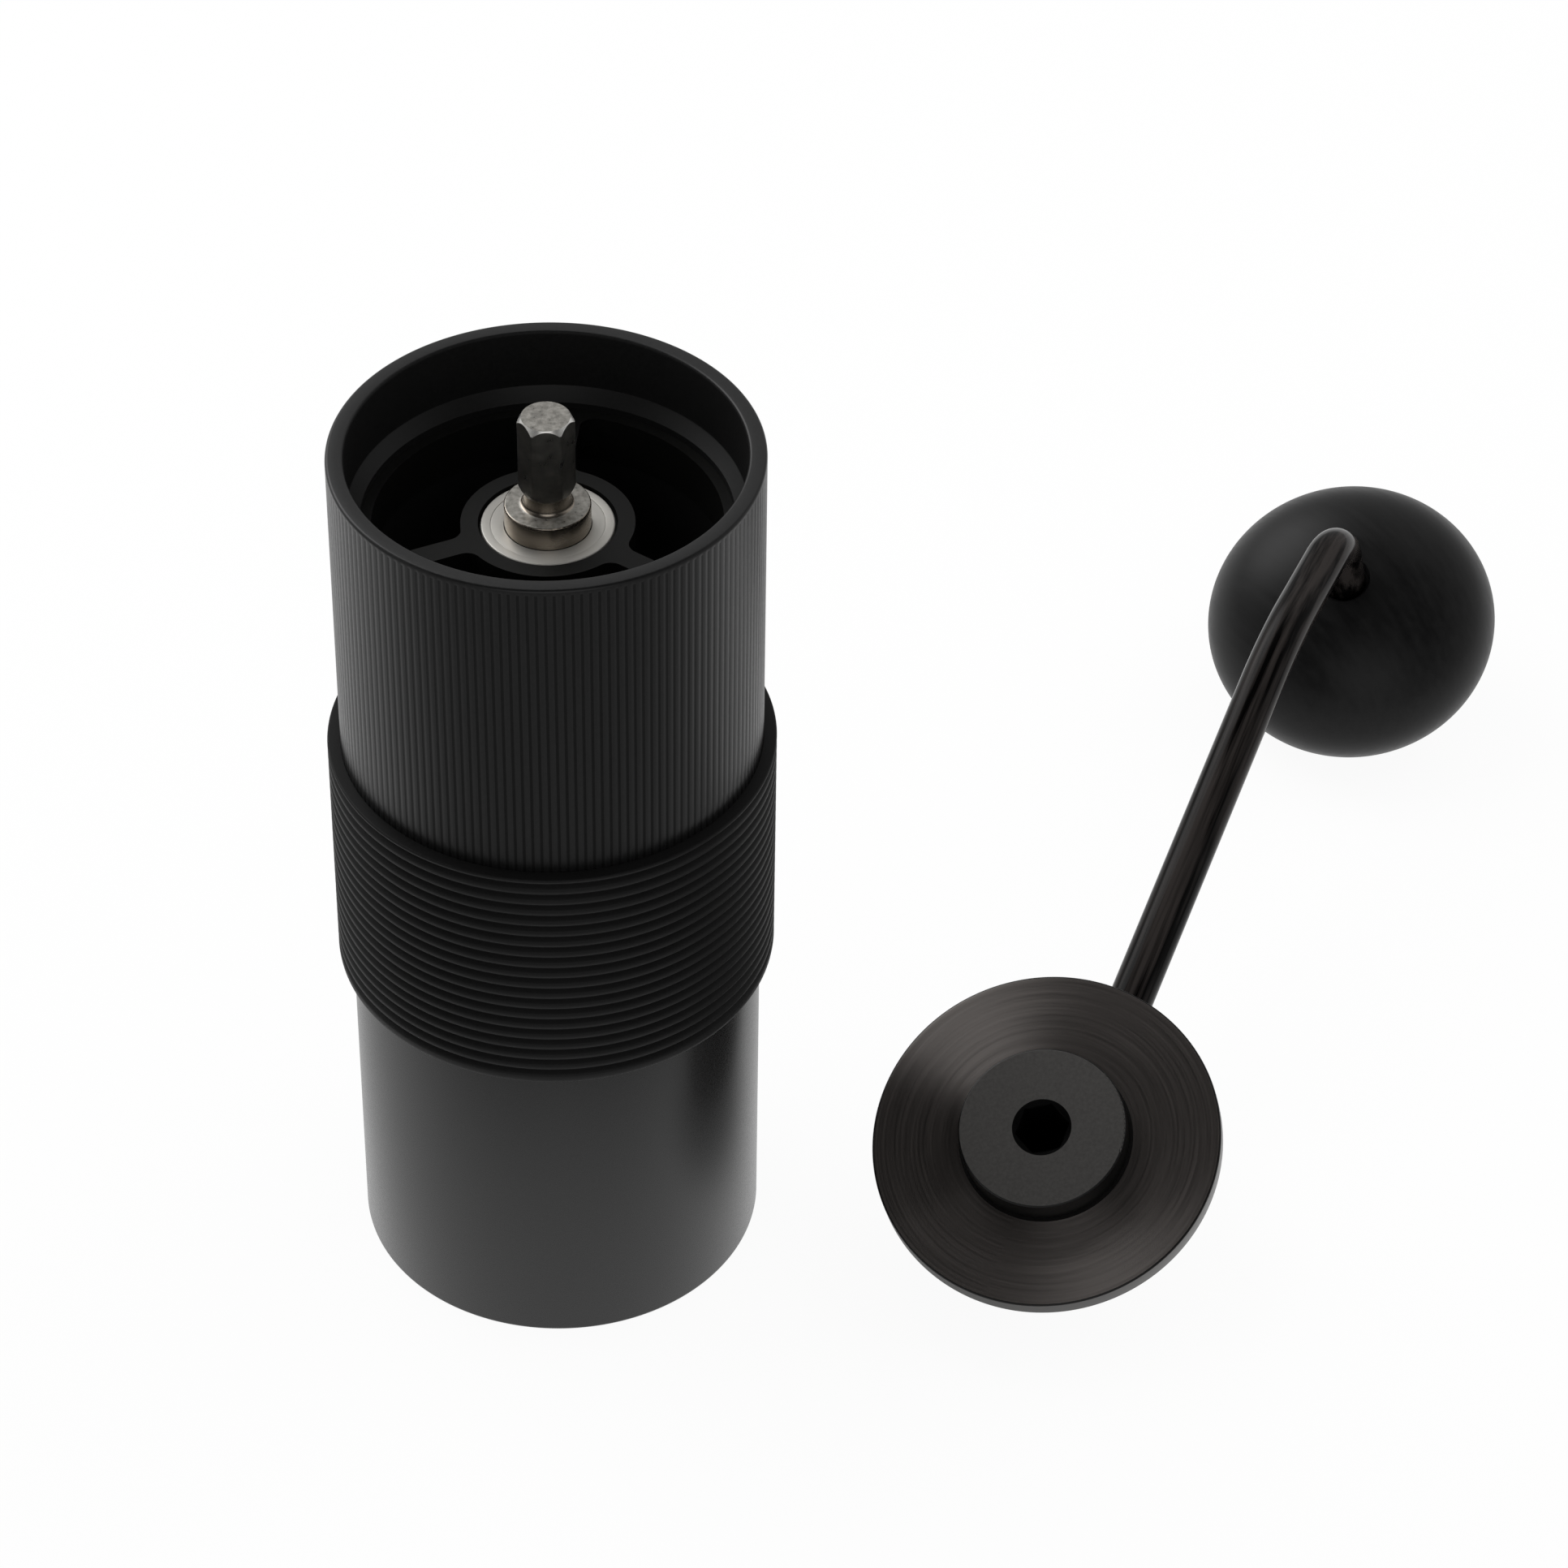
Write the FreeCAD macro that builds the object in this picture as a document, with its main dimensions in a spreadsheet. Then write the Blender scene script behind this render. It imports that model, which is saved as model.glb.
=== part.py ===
import FreeCAD, Part
import math
import os

import Sketcher

# Hand crank coffee grinder with its crank lying beside it, in millimetres, +Z up.
# The origin is the centre of the grinder's base. Crank pieces are drawn in the crank's own
# frame (origin at the foot of its boss, +Z up in use, +X along the arm) and then laid down.

DRIVING_SIZES = {
    # Catch cup
    "cup_inset": 0.2,
    "cup_height": 45.9,
    "cup_wall": 2.2,
    "cup_floor": 2.5,
    "cup_edge": 0.5,
    "cup_floor_edge": 1.0,
    "cup_seat_gap": 0.1,
    # Housing tube
    "body_diameter": 52.0,
    "body_height": 123.0,
    "rim_edge": 0.4,
    "mouth_wall": 2.2,
    "mouth_depth": 8.0,
    "mouth_chamfer": 1.5,
    "hopper_wall": 4.8,
    "burr_bore_wall": 3.8,
    "spigot_step": 1.8,
    "spigot_length": 10.0,
    "spigot_clearance": 0.15,
    "spigot_end_gap": 0.4,
    # Rubber sleeve
    "sleeve_thickness": 1.6,
    "sleeve_height": 34.0,
    "sleeve_edge": 1.0,
    "sleeve_rib_count": 19,
    "sleeve_groove_depth": 0.55,
    "sleeve_groove_share": 0.62,
    # Bearing brackets
    "bracket_drop": 10.4,
    "bracket_height": 6.0,
    "bracket_hub_diameter": 20.8,
    "bracket_ring_width": 1.3,
    "bracket_lip": 1.4,
    "seat_relief_width": 0.3,
    "seat_relief_depth": 1.2,
    "spoke_width": 3.0,
    "spoke_height": 4.0,
    "spoke_count": 3,
    "spoke_turn": 82.0,
    "spoke_fillet": 1.8,
    "lower_ring_height": 4.0,
    # Ball bearings
    "bearing_bore": 8.0,
    "bearing_diameter": 16.0,
    "bearing_width": 5.0,
    "bearing_recess": 0.2,
    "race_thickness": 1.15,
    "ball_diameter": 2.2,
    "ball_count": 8,
    "shield_thickness": 0.3,
    "shield_recess": 0.05,
    # Shaft
    "hex_flats": 6.0,
    "hex_rise": 5.2,
    "hex_chamfer": 0.9,
    "hex_tip_inset": 0.08,
    "collar_diameter": 10.4,
    "collar_height": 3.1,
    "collar_edge": 0.25,
    "neck_diameter": 5.6,
    "neck_height": 1.9,
    "neck_fillet": 0.7,
    "drive_flats": 6.4,
    "thread_diameter": 6.0,
    "thread_end_room": 0.5,
    "circlip_thickness": 0.8,
    "circlip_width": 1.7,
    "circlip_groove": 0.6,
    # Burr set
    "outer_burr_height": 16.0,
    "feed_wall": 6.6,
    "fine_zone_height": 3.0,
    "feed_tooth_count": 8,
    "feed_tooth_depth": 2.2,
    "retaining_ring_height": 4.0,
    "retaining_ring_width": 2.5,
    "inner_burr_height": 14.0,
    "inner_burr_drop": 0.5,
    "inner_burr_top": 18.4,
    "inner_burr_inset": 3.6,
    "inner_burr_rim": 0.7,
    "grind_gap": 0.5,
    "crush_flute_count": 6,
    "crush_flute_depth": 3.0,
    "crush_flute_twist": 50.0,
    "fine_tooth_count": 36,
    "fine_tooth_depth": 0.8,
    "fine_tooth_twist": 8.0,
    "burr_travel": 2.0,
    # Burr spring
    "spring_wire": 1.0,
    "spring_diameter": 11.6,
    "spring_turns": 5.0,
    "spring_pocket": 7.9,
    "spring_washer_thickness": 0.8,
    # Grind dial
    "click_plate_diameter": 28.0,
    "click_plate_thickness": 1.0,
    "click_hole_count": 12,
    "click_circle": 22.0,
    "click_hole_diameter": 1.6,
    "detent_ball_diameter": 2.4,
    "detent_ball_count": 2,
    "dial_diameter": 31.0,
    "dial_height": 7.8,
    "dial_lobe_count": 18,
    "dial_lobe_depth": 0.9,
    "dial_dish": 2.2,
    "dial_hub_diameter": 13.0,
    # Crank lid and hub
    "lid_clearance": 1.1,
    "lid_thickness": 3.0,
    "lid_edge": 0.35,
    "boss_diameter": 21.8,
    "boss_height": 4.2,
    "hub_diameter": 16.2,
    "hub_chamfer": 0.6,
    "hub_cover": 1.5,
    "socket_end_gap": 0.6,
    "socket_lead_in": 0.6,
    "lid_ring_width": 1.6,
    "lid_ring_thickness": 1.0,
    "lid_ring_groove": 0.7,
    # Crank arm
    "arm_diameter": 6.0,
    "arm_lift": 13.7,
    "arm_slope": 3.9,
    "arm_inset": 1.1,
    "elbow_reach": 85.0,
    "elbow_slope": 24.6,
    "elbow_radius": 40.0,
    "spindle_radius": 9.0,
    "grub_diameter": 4.0,
    "grub_sink": 0.4,
    # Knob
    "knob_reach": 106.9,
    "knob_lift": 56.4,
    "knob_diameter": 41.6,
    "knob_thickness": 29.4,
    "knob_flat": 0.8,
    "bush_diameter": 9.2,
    "bush_inset": 2.4,
    "bush_play": 0.1,
    "spindle_collar_width": 1.3,
    "spindle_collar_thickness": 1.0,
    "knob_recess_diameter": 15.0,
    "knob_recess_depth": 6.5,
    "knob_washer_diameter": 12.0,
    "knob_washer_thickness": 1.0,
    "knob_screw_diameter": 3.0,
    "knob_screw_length": 8.0,
    "knob_screw_head": 5.6,
    "knob_screw_head_height": 1.8,
    "knob_cap_thickness": 1.6,
    "knob_cap_sink": 1.1,
    # Where the crank lies
    "crank_place_x": 62.5,
    "crank_place_y": -12.7,
    "crank_heading": 63.4,
    # Fits
    "press_fit": 0.02,
    "running_fit": 0.05,
    "hex_fit": 0.08,
    "touch_gap": 0.1,
}


class Size:
    """A length or angle that is both a number and an expression on the size sheet."""

    def __init__(self, number, text):
        self.number = number
        self.text = text

    def __add__(self, other):
        return combine(self, other, "+", lambda a, b: a + b)

    def __radd__(self, other):
        return combine(other, self, "+", lambda a, b: a + b)

    def __sub__(self, other):
        return combine(self, other, "-", lambda a, b: a - b)

    def __rsub__(self, other):
        return combine(other, self, "-", lambda a, b: a - b)

    def __mul__(self, other):
        return combine(self, other, "*", lambda a, b: a * b)

    def __rmul__(self, other):
        return combine(other, self, "*", lambda a, b: a * b)

    def __truediv__(self, other):
        return combine(self, other, "/", lambda a, b: a / b)

    def __rtruediv__(self, other):
        return combine(other, self, "/", lambda a, b: a / b)


def as_size(item):
    """Give a plain number the form of a Size."""
    if isinstance(item, Size):
        return item
    return Size(float(item), repr(float(item)))


def combine(left, right, sign, rule):
    """Join two sizes by one arithmetic sign."""
    left = as_size(left)
    right = as_size(right)
    return Size(rule(left.number, right.number), f"({left.text} {sign} {right.text})")


def sine(angle):
    """Sine of an angle in degrees."""
    angle = as_size(angle)
    return Size(math.sin(math.radians(angle.number)), f"sin({angle.text} * 1 deg)")


def cosine(angle):
    """Cosine of an angle in degrees."""
    angle = as_size(angle)
    return Size(math.cos(math.radians(angle.number)), f"cos({angle.text} * 1 deg)")


doc = FreeCAD.newDocument("coffee_grinder")
sheet = doc.addObject("Spreadsheet::Sheet", "sizes")
S = {}
for row, (alias, number) in enumerate(DRIVING_SIZES.items(), start=1):
    sheet.set(f"A{row}", alias)
    sheet.set(f"B{row}", str(number))
    sheet.setAlias(f"B{row}", alias)
    S[alias] = Size(float(number), f"sizes.{alias}")
doc.recompute()


def bind(item, prop, size):
    """Tie a property of an object to the size sheet."""
    item.setExpression(prop, as_size(size).text)


def origin_feature(body, role):
    """The plane or axis of a body's own origin that has this role."""
    return next(part for part in body.Origin.OriginFeatures if part.Role == role)


def new_body(name):
    """A named body for one piece."""
    body = doc.addObject("PartDesign::Body", name)
    body.Label = name
    return body


def new_sketch(body, name, plane, height=0):
    """A sketch on one of the body's origin planes, raised along the plane's normal."""
    sketch = body.newObject("Sketcher::SketchObject", f"{body.Name}_{name}")
    sketch.AttachmentSupport = [(origin_feature(body, plane), "")]
    sketch.MapMode = "FlatFace"
    if as_size(height).number != 0:
        bind(sketch, "AttachmentOffset.Base.z", height)
    return sketch


def fix_point(sketch, geometry, position, x, y):
    """Dimension one point of a sketch from the sketch's origin."""
    for axis, kind, size in ((-2, "DistanceX", as_size(x)), (-1, "DistanceY", as_size(y))):
        if size.text == "0.0":
            sketch.addConstraint(Sketcher.Constraint("PointOnObject", geometry, position, axis))
        else:
            rule = Sketcher.Constraint(kind, -1, 1, geometry, position, size.number)
            index = sketch.addConstraint(rule)
            bind(sketch, f"Constraints[{index}]", size)


def draw_outline(sketch, corners):
    """Draw a closed outline; a corner with a third value is rounded by that radius."""
    corners = [tuple(as_size(item) for item in corner) for corner in corners]
    places = [FreeCAD.Vector(corner[0].number, corner[1].number, 0) for corner in corners]
    count = len(corners)
    leave = []
    arrive = []
    for i, corner in enumerate(corners):
        back = (places[i - 1] - places[i]).normalize()
        ahead = (places[(i + 1) % count] - places[i]).normalize()
        setback = 0.0
        if len(corner) == 3:
            setback = corner[2].number / math.tan(back.getAngle(ahead) / 2)
        arrive.append(places[i] + back * setback)
        leave.append(places[i] + ahead * setback)
    lines = [
        sketch.addGeometry(Part.LineSegment(leave[i], arrive[(i + 1) % count])) for i in range(count)
    ]
    for i, corner in enumerate(corners):
        before, after = lines[i - 1], lines[i]
        if len(corner) == 2:
            sketch.addConstraint(Sketcher.Constraint("Coincident", before, 2, after, 1))
            fix_point(sketch, after, 1, corner[0], corner[1])
            continue
        inward = ((arrive[i] - places[i]) + (leave[i] - places[i])).normalize()
        reach = math.hypot(corner[2].number, (arrive[i] - places[i]).Length)
        middle = places[i] + inward * (reach - corner[2].number)
        arc = sketch.addGeometry(Part.Arc(arrive[i], middle, leave[i]))
        turns_left = (places[i] - arrive[i]).cross(leave[i] - places[i]).z > 0
        first, last = (1, 2) if turns_left else (2, 1)
        point = sketch.addGeometry(Part.Point(places[i]), True)
        sketch.addConstraint(Sketcher.Constraint("Tangent", before, 2, arc, first))
        sketch.addConstraint(Sketcher.Constraint("Tangent", arc, last, after, 1))
        sketch.addConstraint(Sketcher.Constraint("PointOnObject", point, 1, before))
        sketch.addConstraint(Sketcher.Constraint("PointOnObject", point, 1, after))
        fix_point(sketch, point, 1, corner[0], corner[1])
        index = sketch.addConstraint(Sketcher.Constraint("Radius", arc, corner[2].number))
        bind(sketch, f"Constraints[{index}]", corner[2])


def draw_circle(sketch, radius, x=0, y=0):
    """Draw a circle of a bound radius."""
    radius, x, y = as_size(radius), as_size(x), as_size(y)
    centre = FreeCAD.Vector(x.number, y.number, 0)
    circle = sketch.addGeometry(Part.Circle(centre, FreeCAD.Vector(0, 0, 1), radius.number))
    if x.text == "0.0" and y.text == "0.0":
        sketch.addConstraint(Sketcher.Constraint("Coincident", circle, 3, -1, 1))
    else:
        fix_point(sketch, circle, 3, x, y)
    index = sketch.addConstraint(Sketcher.Constraint("Radius", circle, radius.number))
    bind(sketch, f"Constraints[{index}]", radius)


def hexagon(flats, turn=0.0):
    """Corners of a hexagon given across its flats, with a corner on the +X side."""
    reach = flats / math.sqrt(3)
    return [
        (reach * round(math.cos(math.radians(60 * k + turn)), 9),
         reach * round(math.sin(math.radians(60 * k + turn)), 9))
        for k in range(6)
    ]


def revolve(body, name, corners, cut=False):
    """Turn an outline of (radius, height) corners about the body's Z axis."""
    sketch = new_sketch(body, f"{name}_outline", "XZ_Plane")
    draw_outline(sketch, corners)
    kind = "PartDesign::Groove" if cut else "PartDesign::Revolution"
    feature = body.newObject(kind, f"{body.Name}_{name}")
    feature.Profile = sketch
    feature.ReferenceAxis = (sketch, ["V_Axis"])
    feature.Angle = 360
    return feature


def pad(body, name, draw, start, length):
    """Raise a sketch from one height by a length."""
    sketch = new_sketch(body, f"{name}_outline", "XY_Plane", start)
    draw(sketch)
    feature = body.newObject("PartDesign::Pad", f"{body.Name}_{name}")
    feature.Profile = sketch
    bind(feature, "Length", length)
    return feature


def pocket_up(body, name, draw, start, length):
    """Cut a sketch upwards from one height by a length."""
    sketch = new_sketch(body, f"{name}_outline", "XY_Plane", start)
    draw(sketch)
    feature = body.newObject("PartDesign::Pocket", f"{body.Name}_{name}")
    feature.Profile = sketch
    bind(feature, "Length", length)
    feature.Reversed = True
    return feature


def repeat_round(body, name, feature, count):
    """Repeat a feature evenly round the body's Z axis."""
    pattern = body.newObject("PartDesign::PolarPattern", f"{body.Name}_{name}")
    pattern.Originals = [feature]
    pattern.Axis = (origin_feature(body, "Z_Axis"), [""])
    pattern.Angle = 360
    bind(pattern, "Occurrences", count)
    body.Tip = pattern
    return pattern


def repeat_up(body, name, feature, pitch, count):
    """Repeat a feature along the body's Z axis."""
    pattern = body.newObject("PartDesign::LinearPattern", f"{body.Name}_{name}")
    pattern.Originals = [feature]
    pattern.Direction = (origin_feature(body, "Z_Axis"), [""])
    bind(pattern, "Length", pitch * (count - 1))
    bind(pattern, "Occurrences", count)
    body.Tip = pattern
    return pattern


def loft_cut(body, name, sections):
    """Cut a ruled groove through triangles given as (height, three corners)."""
    sketches = []
    for k, (height, corners) in enumerate(sections):
        sketch = new_sketch(body, f"{name}_section{k}", "XY_Plane", height)
        draw_outline(sketch, corners)
        sketches.append(sketch)
    feature = body.newObject("PartDesign::SubtractiveLoft", f"{body.Name}_{name}")
    feature.Profile = sketches[0]
    feature.Sections = sketches[1:]
    feature.Ruled = True
    return feature


def polar(radius, angle):
    """A point at a radius and an angle in degrees."""
    return (radius * cosine(angle), radius * sine(angle))


def groove_section(root, mouth, half_width, turn):
    """Triangle with its point at the groove's root and its base past the groove's mouth."""
    return [polar(root, turn), polar(mouth, turn - half_width), polar(mouth, turn + half_width)]


def upright_edges(shape, radius):
    """Names of the upright straight edges that stand at one radius from the axis."""
    names = []
    for k, edge in enumerate(shape.Edges, start=1):
        if not isinstance(edge.Curve, Part.Line):
            continue
        start, end = edge.Vertexes[0].Point, edge.Vertexes[-1].Point
        if math.hypot(start.x - end.x, start.y - end.y) > 1e-4:
            continue
        if abs(math.hypot(start.x, start.y) - radius) < 1e-3:
            names.append(f"Edge{k}")
    return names


def shape_piece(name, shape):
    """A piece whose shape is worked out from the sheet's numbers."""
    piece = doc.addObject("Part::Feature", name)
    piece.Label = name
    piece.Shape = shape
    return piece


# Heights and radii that several pieces share
body_radius = S["body_diameter"] / 2
cup_radius = body_radius - S["cup_inset"]
mouth_radius = body_radius - S["mouth_wall"]
hopper_radius = body_radius - S["hopper_wall"]
burr_bore_radius = body_radius - S["burr_bore_wall"]
bracket_bore_radius = mouth_radius - S["mouth_chamfer"]
spigot_radius = body_radius - S["spigot_step"]
shaft_radius = S["bearing_bore"] / 2
bearing_radius = S["bearing_diameter"] / 2
hub_ring_radius = S["bracket_hub_diameter"] / 2

shoulder_height = S["cup_height"] + S["cup_seat_gap"]
spigot_foot = shoulder_height - S["spigot_length"]
mouth_floor = S["body_height"] - S["mouth_depth"]
upper_bracket_top = S["body_height"] - S["bracket_drop"]
upper_bracket_foot = upper_bracket_top - S["bracket_height"]
upper_bearing_top = upper_bracket_top - S["bearing_recess"]
upper_bearing_foot = upper_bearing_top - S["bearing_width"]
ring_foot = shoulder_height - S["retaining_ring_height"] - 2
outer_burr_foot = ring_foot + S["retaining_ring_height"]
outer_burr_top = outer_burr_foot + S["outer_burr_height"]
bore_step = outer_burr_top + S["lower_ring_height"]
lower_bracket_top = outer_burr_top + S["bracket_height"]
lower_bearing_foot = outer_burr_top + S["bearing_recess"]
lower_bearing_top = lower_bearing_foot + S["bearing_width"]
circlip_foot = lower_bearing_foot - S["circlip_thickness"]
washer_foot = circlip_foot - S["spring_washer_thickness"]
inner_burr_foot = outer_burr_foot - S["inner_burr_drop"]
inner_burr_head = inner_burr_foot + S["inner_burr_height"]
spring_foot = inner_burr_head - S["spring_pocket"]
click_plate_foot = inner_burr_foot - S["click_plate_thickness"]
dial_top = click_plate_foot - S["touch_gap"]
dial_foot = dial_top - S["dial_height"]
flats_foot = click_plate_foot - S["burr_travel"] - S["touch_gap"]
thread_foot = dial_foot - S["burr_travel"] - S["thread_end_room"]
collar_top = upper_bearing_top + S["collar_height"]
hex_foot = collar_top + S["neck_height"]
shaft_top = S["body_height"] + S["hex_rise"]
hex_corner_radius = S["hex_flats"] / math.sqrt(3)
hex_tip_radius = S["hex_flats"] / 2 - S["hex_tip_inset"]


# Catch cup
cup = new_body("catch_cup")
cup_bore = cup_radius - S["cup_wall"]
thread_bore = spigot_radius + S["spigot_clearance"]
thread_floor = spigot_foot - S["spigot_end_gap"]
revolve(cup, "turned", [
    (0, 0),
    (cup_radius, 0, S["cup_edge"]),
    (cup_radius, S["cup_height"], S["rim_edge"]),
    (thread_bore, S["cup_height"]),
    (thread_bore, thread_floor),
    (cup_bore, thread_floor),
    (cup_bore, S["cup_floor"], S["cup_floor_edge"]),
    (0, S["cup_floor"]),
])

# Housing tube: mouth, bracket seat, hopper, burr bore and threaded spigot
tube = new_body("housing_tube")
revolve(tube, "turned", [
    (burr_bore_radius, spigot_foot),
    (spigot_radius, spigot_foot, S["rim_edge"]),
    (spigot_radius, shoulder_height),
    (body_radius, shoulder_height),
    (body_radius, S["body_height"], S["rim_edge"]),
    (mouth_radius, S["body_height"], S["rim_edge"]),
    (mouth_radius, mouth_floor),
    (bracket_bore_radius, mouth_floor - S["mouth_chamfer"]),
    (bracket_bore_radius, upper_bracket_foot),
    (hopper_radius, upper_bracket_foot),
    (hopper_radius, bore_step),
    (burr_bore_radius, bore_step),
])

# Rubber sleeve with horizontal ribs
sleeve = new_body("grip_sleeve")
sleeve_radius = body_radius + S["sleeve_thickness"]
sleeve_bore = body_radius + S["press_fit"]
sleeve_top = shoulder_height + S["sleeve_height"]
revolve(sleeve, "band", [
    (sleeve_bore, shoulder_height),
    (sleeve_radius, shoulder_height, S["sleeve_edge"]),
    (sleeve_radius, sleeve_top, S["sleeve_edge"]),
    (sleeve_bore, sleeve_top),
])
rib_pitch = (S["sleeve_height"] - S["sleeve_edge"]) / (S["sleeve_rib_count"] + 1)
groove_half = rib_pitch * S["sleeve_groove_share"] / 2
first_groove = shoulder_height + S["sleeve_edge"] / 2 + rib_pitch
rib_groove = revolve(sleeve, "rib_groove", [
    (sleeve_radius - S["sleeve_groove_depth"], first_groove),
    (sleeve_radius + S["sleeve_groove_depth"], first_groove - groove_half * 2),
    (sleeve_radius + S["sleeve_groove_depth"], first_groove + groove_half * 2),
], cut=True)
repeat_up(sleeve, "rib_grooves", rib_groove, rib_pitch, S["sleeve_rib_count"])


def bearing_bracket(name, ring_radius, foot, ring_height, spoke_foot, hub_foot, seat_foot, turned):
    """Three-spoke carrier: hub ring with a bearing seat, spokes and an outer ring."""
    body = new_body(name)
    outer = ring_radius - S["press_fit"]
    inner = outer - S["bracket_ring_width"]
    seat = bearing_radius + S["press_fit"]
    lip = bearing_radius - S["bracket_lip"]
    hub_top = hub_foot + S["bracket_height"]

    def draw_ring(sketch):
        draw_circle(sketch, outer)
        draw_circle(sketch, inner)

    def draw_hub(sketch):
        draw_circle(sketch, hub_ring_radius)

    def draw_spoke(sketch):
        half = S["spoke_width"] / 2
        start = hub_ring_radius / 2
        end = inner + S["bracket_ring_width"] / 2
        along = (cosine(S["spoke_turn"]), sine(S["spoke_turn"]))
        across = (0 - along[1], along[0])
        draw_outline(sketch, [
            (along[0] * reach + across[0] * side, along[1] * reach + across[1] * side)
            for reach, side in ((start, 0 - half), (end, 0 - half), (end, half), (start, half))
        ])

    pad(body, "hub", draw_hub, hub_foot, S["bracket_height"])
    spoke = pad(body, "spoke", draw_spoke, spoke_foot, S["spoke_height"])
    repeat_round(body, "spokes", spoke, S["spoke_count"])
    rim = pad(body, "rim", draw_ring, foot, ring_height)
    doc.recompute()
    roots = upright_edges(rim.Shape, hub_ring_radius.number) + upright_edges(rim.Shape, inner.number)
    blend = body.newObject("PartDesign::Fillet", f"{name}_spoke_roots")
    blend.Base = (rim, roots)
    bind(blend, "Radius", S["spoke_fillet"])
    if turned:
        corners = [(0, hub_foot - 1), (seat, hub_foot - 1), (seat, seat_foot + S["bearing_width"]),
                   (lip, seat_foot + S["bearing_width"]), (lip, hub_top + 1), (0, hub_top + 1)]
    else:
        relief = seat + S["seat_relief_width"]
        relief_floor = hub_top - S["seat_relief_depth"]
        corners = [(0, hub_foot - 1), (lip, hub_foot - 1), (lip, seat_foot), (seat, seat_foot),
                   (seat, relief_floor), (relief, relief_floor), (relief, hub_top + 1), (0, hub_top + 1)]
    revolve(body, "bearing_seat", corners, cut=True)
    return body


bearing_bracket("upper_bracket", bracket_bore_radius, upper_bracket_foot, S["bracket_height"],
                upper_bracket_top - S["spoke_height"], upper_bracket_foot, upper_bearing_foot, False)
bearing_bracket("lower_bracket", burr_bore_radius, outer_burr_top, S["lower_ring_height"],
                outer_burr_top, outer_burr_top, lower_bearing_foot, True)


def ball_bearing(prefix, foot):
    """Deep-groove bearing: two races, a ring of balls and a pair of shields."""
    top = foot + S["bearing_width"]
    middle = foot + S["bearing_width"] / 2
    inner_land = shaft_radius + S["race_thickness"]
    outer_land = bearing_radius - S["race_thickness"]
    ball_circle = (shaft_radius + bearing_radius) / 2
    groove = S["ball_diameter"] / 2 + S["running_fit"]

    outer = new_body(f"{prefix}_outer_race")
    revolve(outer, "ring", [
        (outer_land, foot), (bearing_radius, foot), (bearing_radius, top), (outer_land, top)])
    inner = new_body(f"{prefix}_inner_race")
    inner_bore = shaft_radius + S["press_fit"]
    revolve(inner, "ring", [
        (inner_bore, foot), (inner_land, foot), (inner_land, top), (inner_bore, top)])
    for race in (outer, inner):
        sketch = new_sketch(race, "track_outline", "XZ_Plane")
        draw_circle(sketch, groove, ball_circle, middle)
        track = race.newObject("PartDesign::Groove", f"{race.Name}_track")
        track.Profile = sketch
        track.ReferenceAxis = (sketch, ["V_Axis"])
        track.Angle = 360

    balls = []
    for k in range(int(S["ball_count"].number)):
        angle = 2 * math.pi * k / S["ball_count"].number
        place = FreeCAD.Vector(ball_circle.number * math.cos(angle),
                               ball_circle.number * math.sin(angle), middle.number)
        balls.append(Part.makeSphere(S["ball_diameter"].number / 2, place))
    shape_piece(f"{prefix}_balls", Part.makeCompound(balls))

    shields = []
    inner_edge = inner_land + S["touch_gap"]
    outer_edge = outer_land - S["press_fit"]
    upper_face = top - S["shield_recess"]
    for face in (foot + S["shield_recess"], upper_face - S["shield_thickness"]):
        plane = FreeCAD.Vector(0, 0, face.number)
        disc = Part.makeCylinder(outer_edge.number, S["shield_thickness"].number, plane)
        hole = Part.makeCylinder(inner_edge.number, S["shield_thickness"].number, plane)
        shields.append(disc.cut(hole))
    shape_piece(f"{prefix}_shields", Part.makeCompound(shields))


ball_bearing("upper_bearing", upper_bearing_foot)
ball_bearing("lower_bearing", lower_bearing_foot)

# Drive shaft: threaded end, drive flats, journals, collar, neck and hexagon
shaft = new_body("drive_shaft")
thread_radius = S["thread_diameter"] / 2
circlip_groove_radius = shaft_radius - S["circlip_groove"]
collar_radius = S["collar_diameter"] / 2
neck_radius = S["neck_diameter"] / 2
revolve(shaft, "turned", [
    (0, thread_foot),
    (thread_radius, thread_foot),
    (thread_radius, flats_foot),
    (shaft_radius, flats_foot),
    (shaft_radius, circlip_foot),
    (circlip_groove_radius, circlip_foot),
    (circlip_groove_radius, lower_bearing_foot),
    (shaft_radius, lower_bearing_foot),
    (shaft_radius, upper_bearing_top),
    (collar_radius, upper_bearing_top),
    (collar_radius, collar_top, S["collar_edge"]),
    (neck_radius, collar_top, S["neck_fillet"]),
    (neck_radius, hex_foot),
    (hex_corner_radius, hex_foot + S["hex_chamfer"]),
    (hex_corner_radius, shaft_top - S["hex_chamfer"]),
    (hex_tip_radius, shaft_top),
    (0, shaft_top),
])


def draw_hexagon_waste(sketch):
    """Everything outside the hexagon, out to past the shaft's own round."""
    draw_circle(sketch, hex_corner_radius * 2)
    draw_outline(sketch, hexagon(S["hex_flats"]))


pocket_up(shaft, "hexagon", draw_hexagon_waste, hex_foot, shaft_top - hex_foot + 1)


def draw_flats_waste(sketch):
    """The two strips that leave the shaft with a pair of parallel flats."""
    for side in (1, -1):
        near = S["drive_flats"] * side / 2
        far = shaft_radius * 2 * side
        draw_outline(sketch, [(near, 0 - shaft_radius * 2), (far, 0 - shaft_radius * 2),
                              (far, shaft_radius * 2), (near, shaft_radius * 2)])


pocket_up(shaft, "flats", draw_flats_waste, flats_foot, circlip_foot - flats_foot - S["circlip_thickness"])


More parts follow.
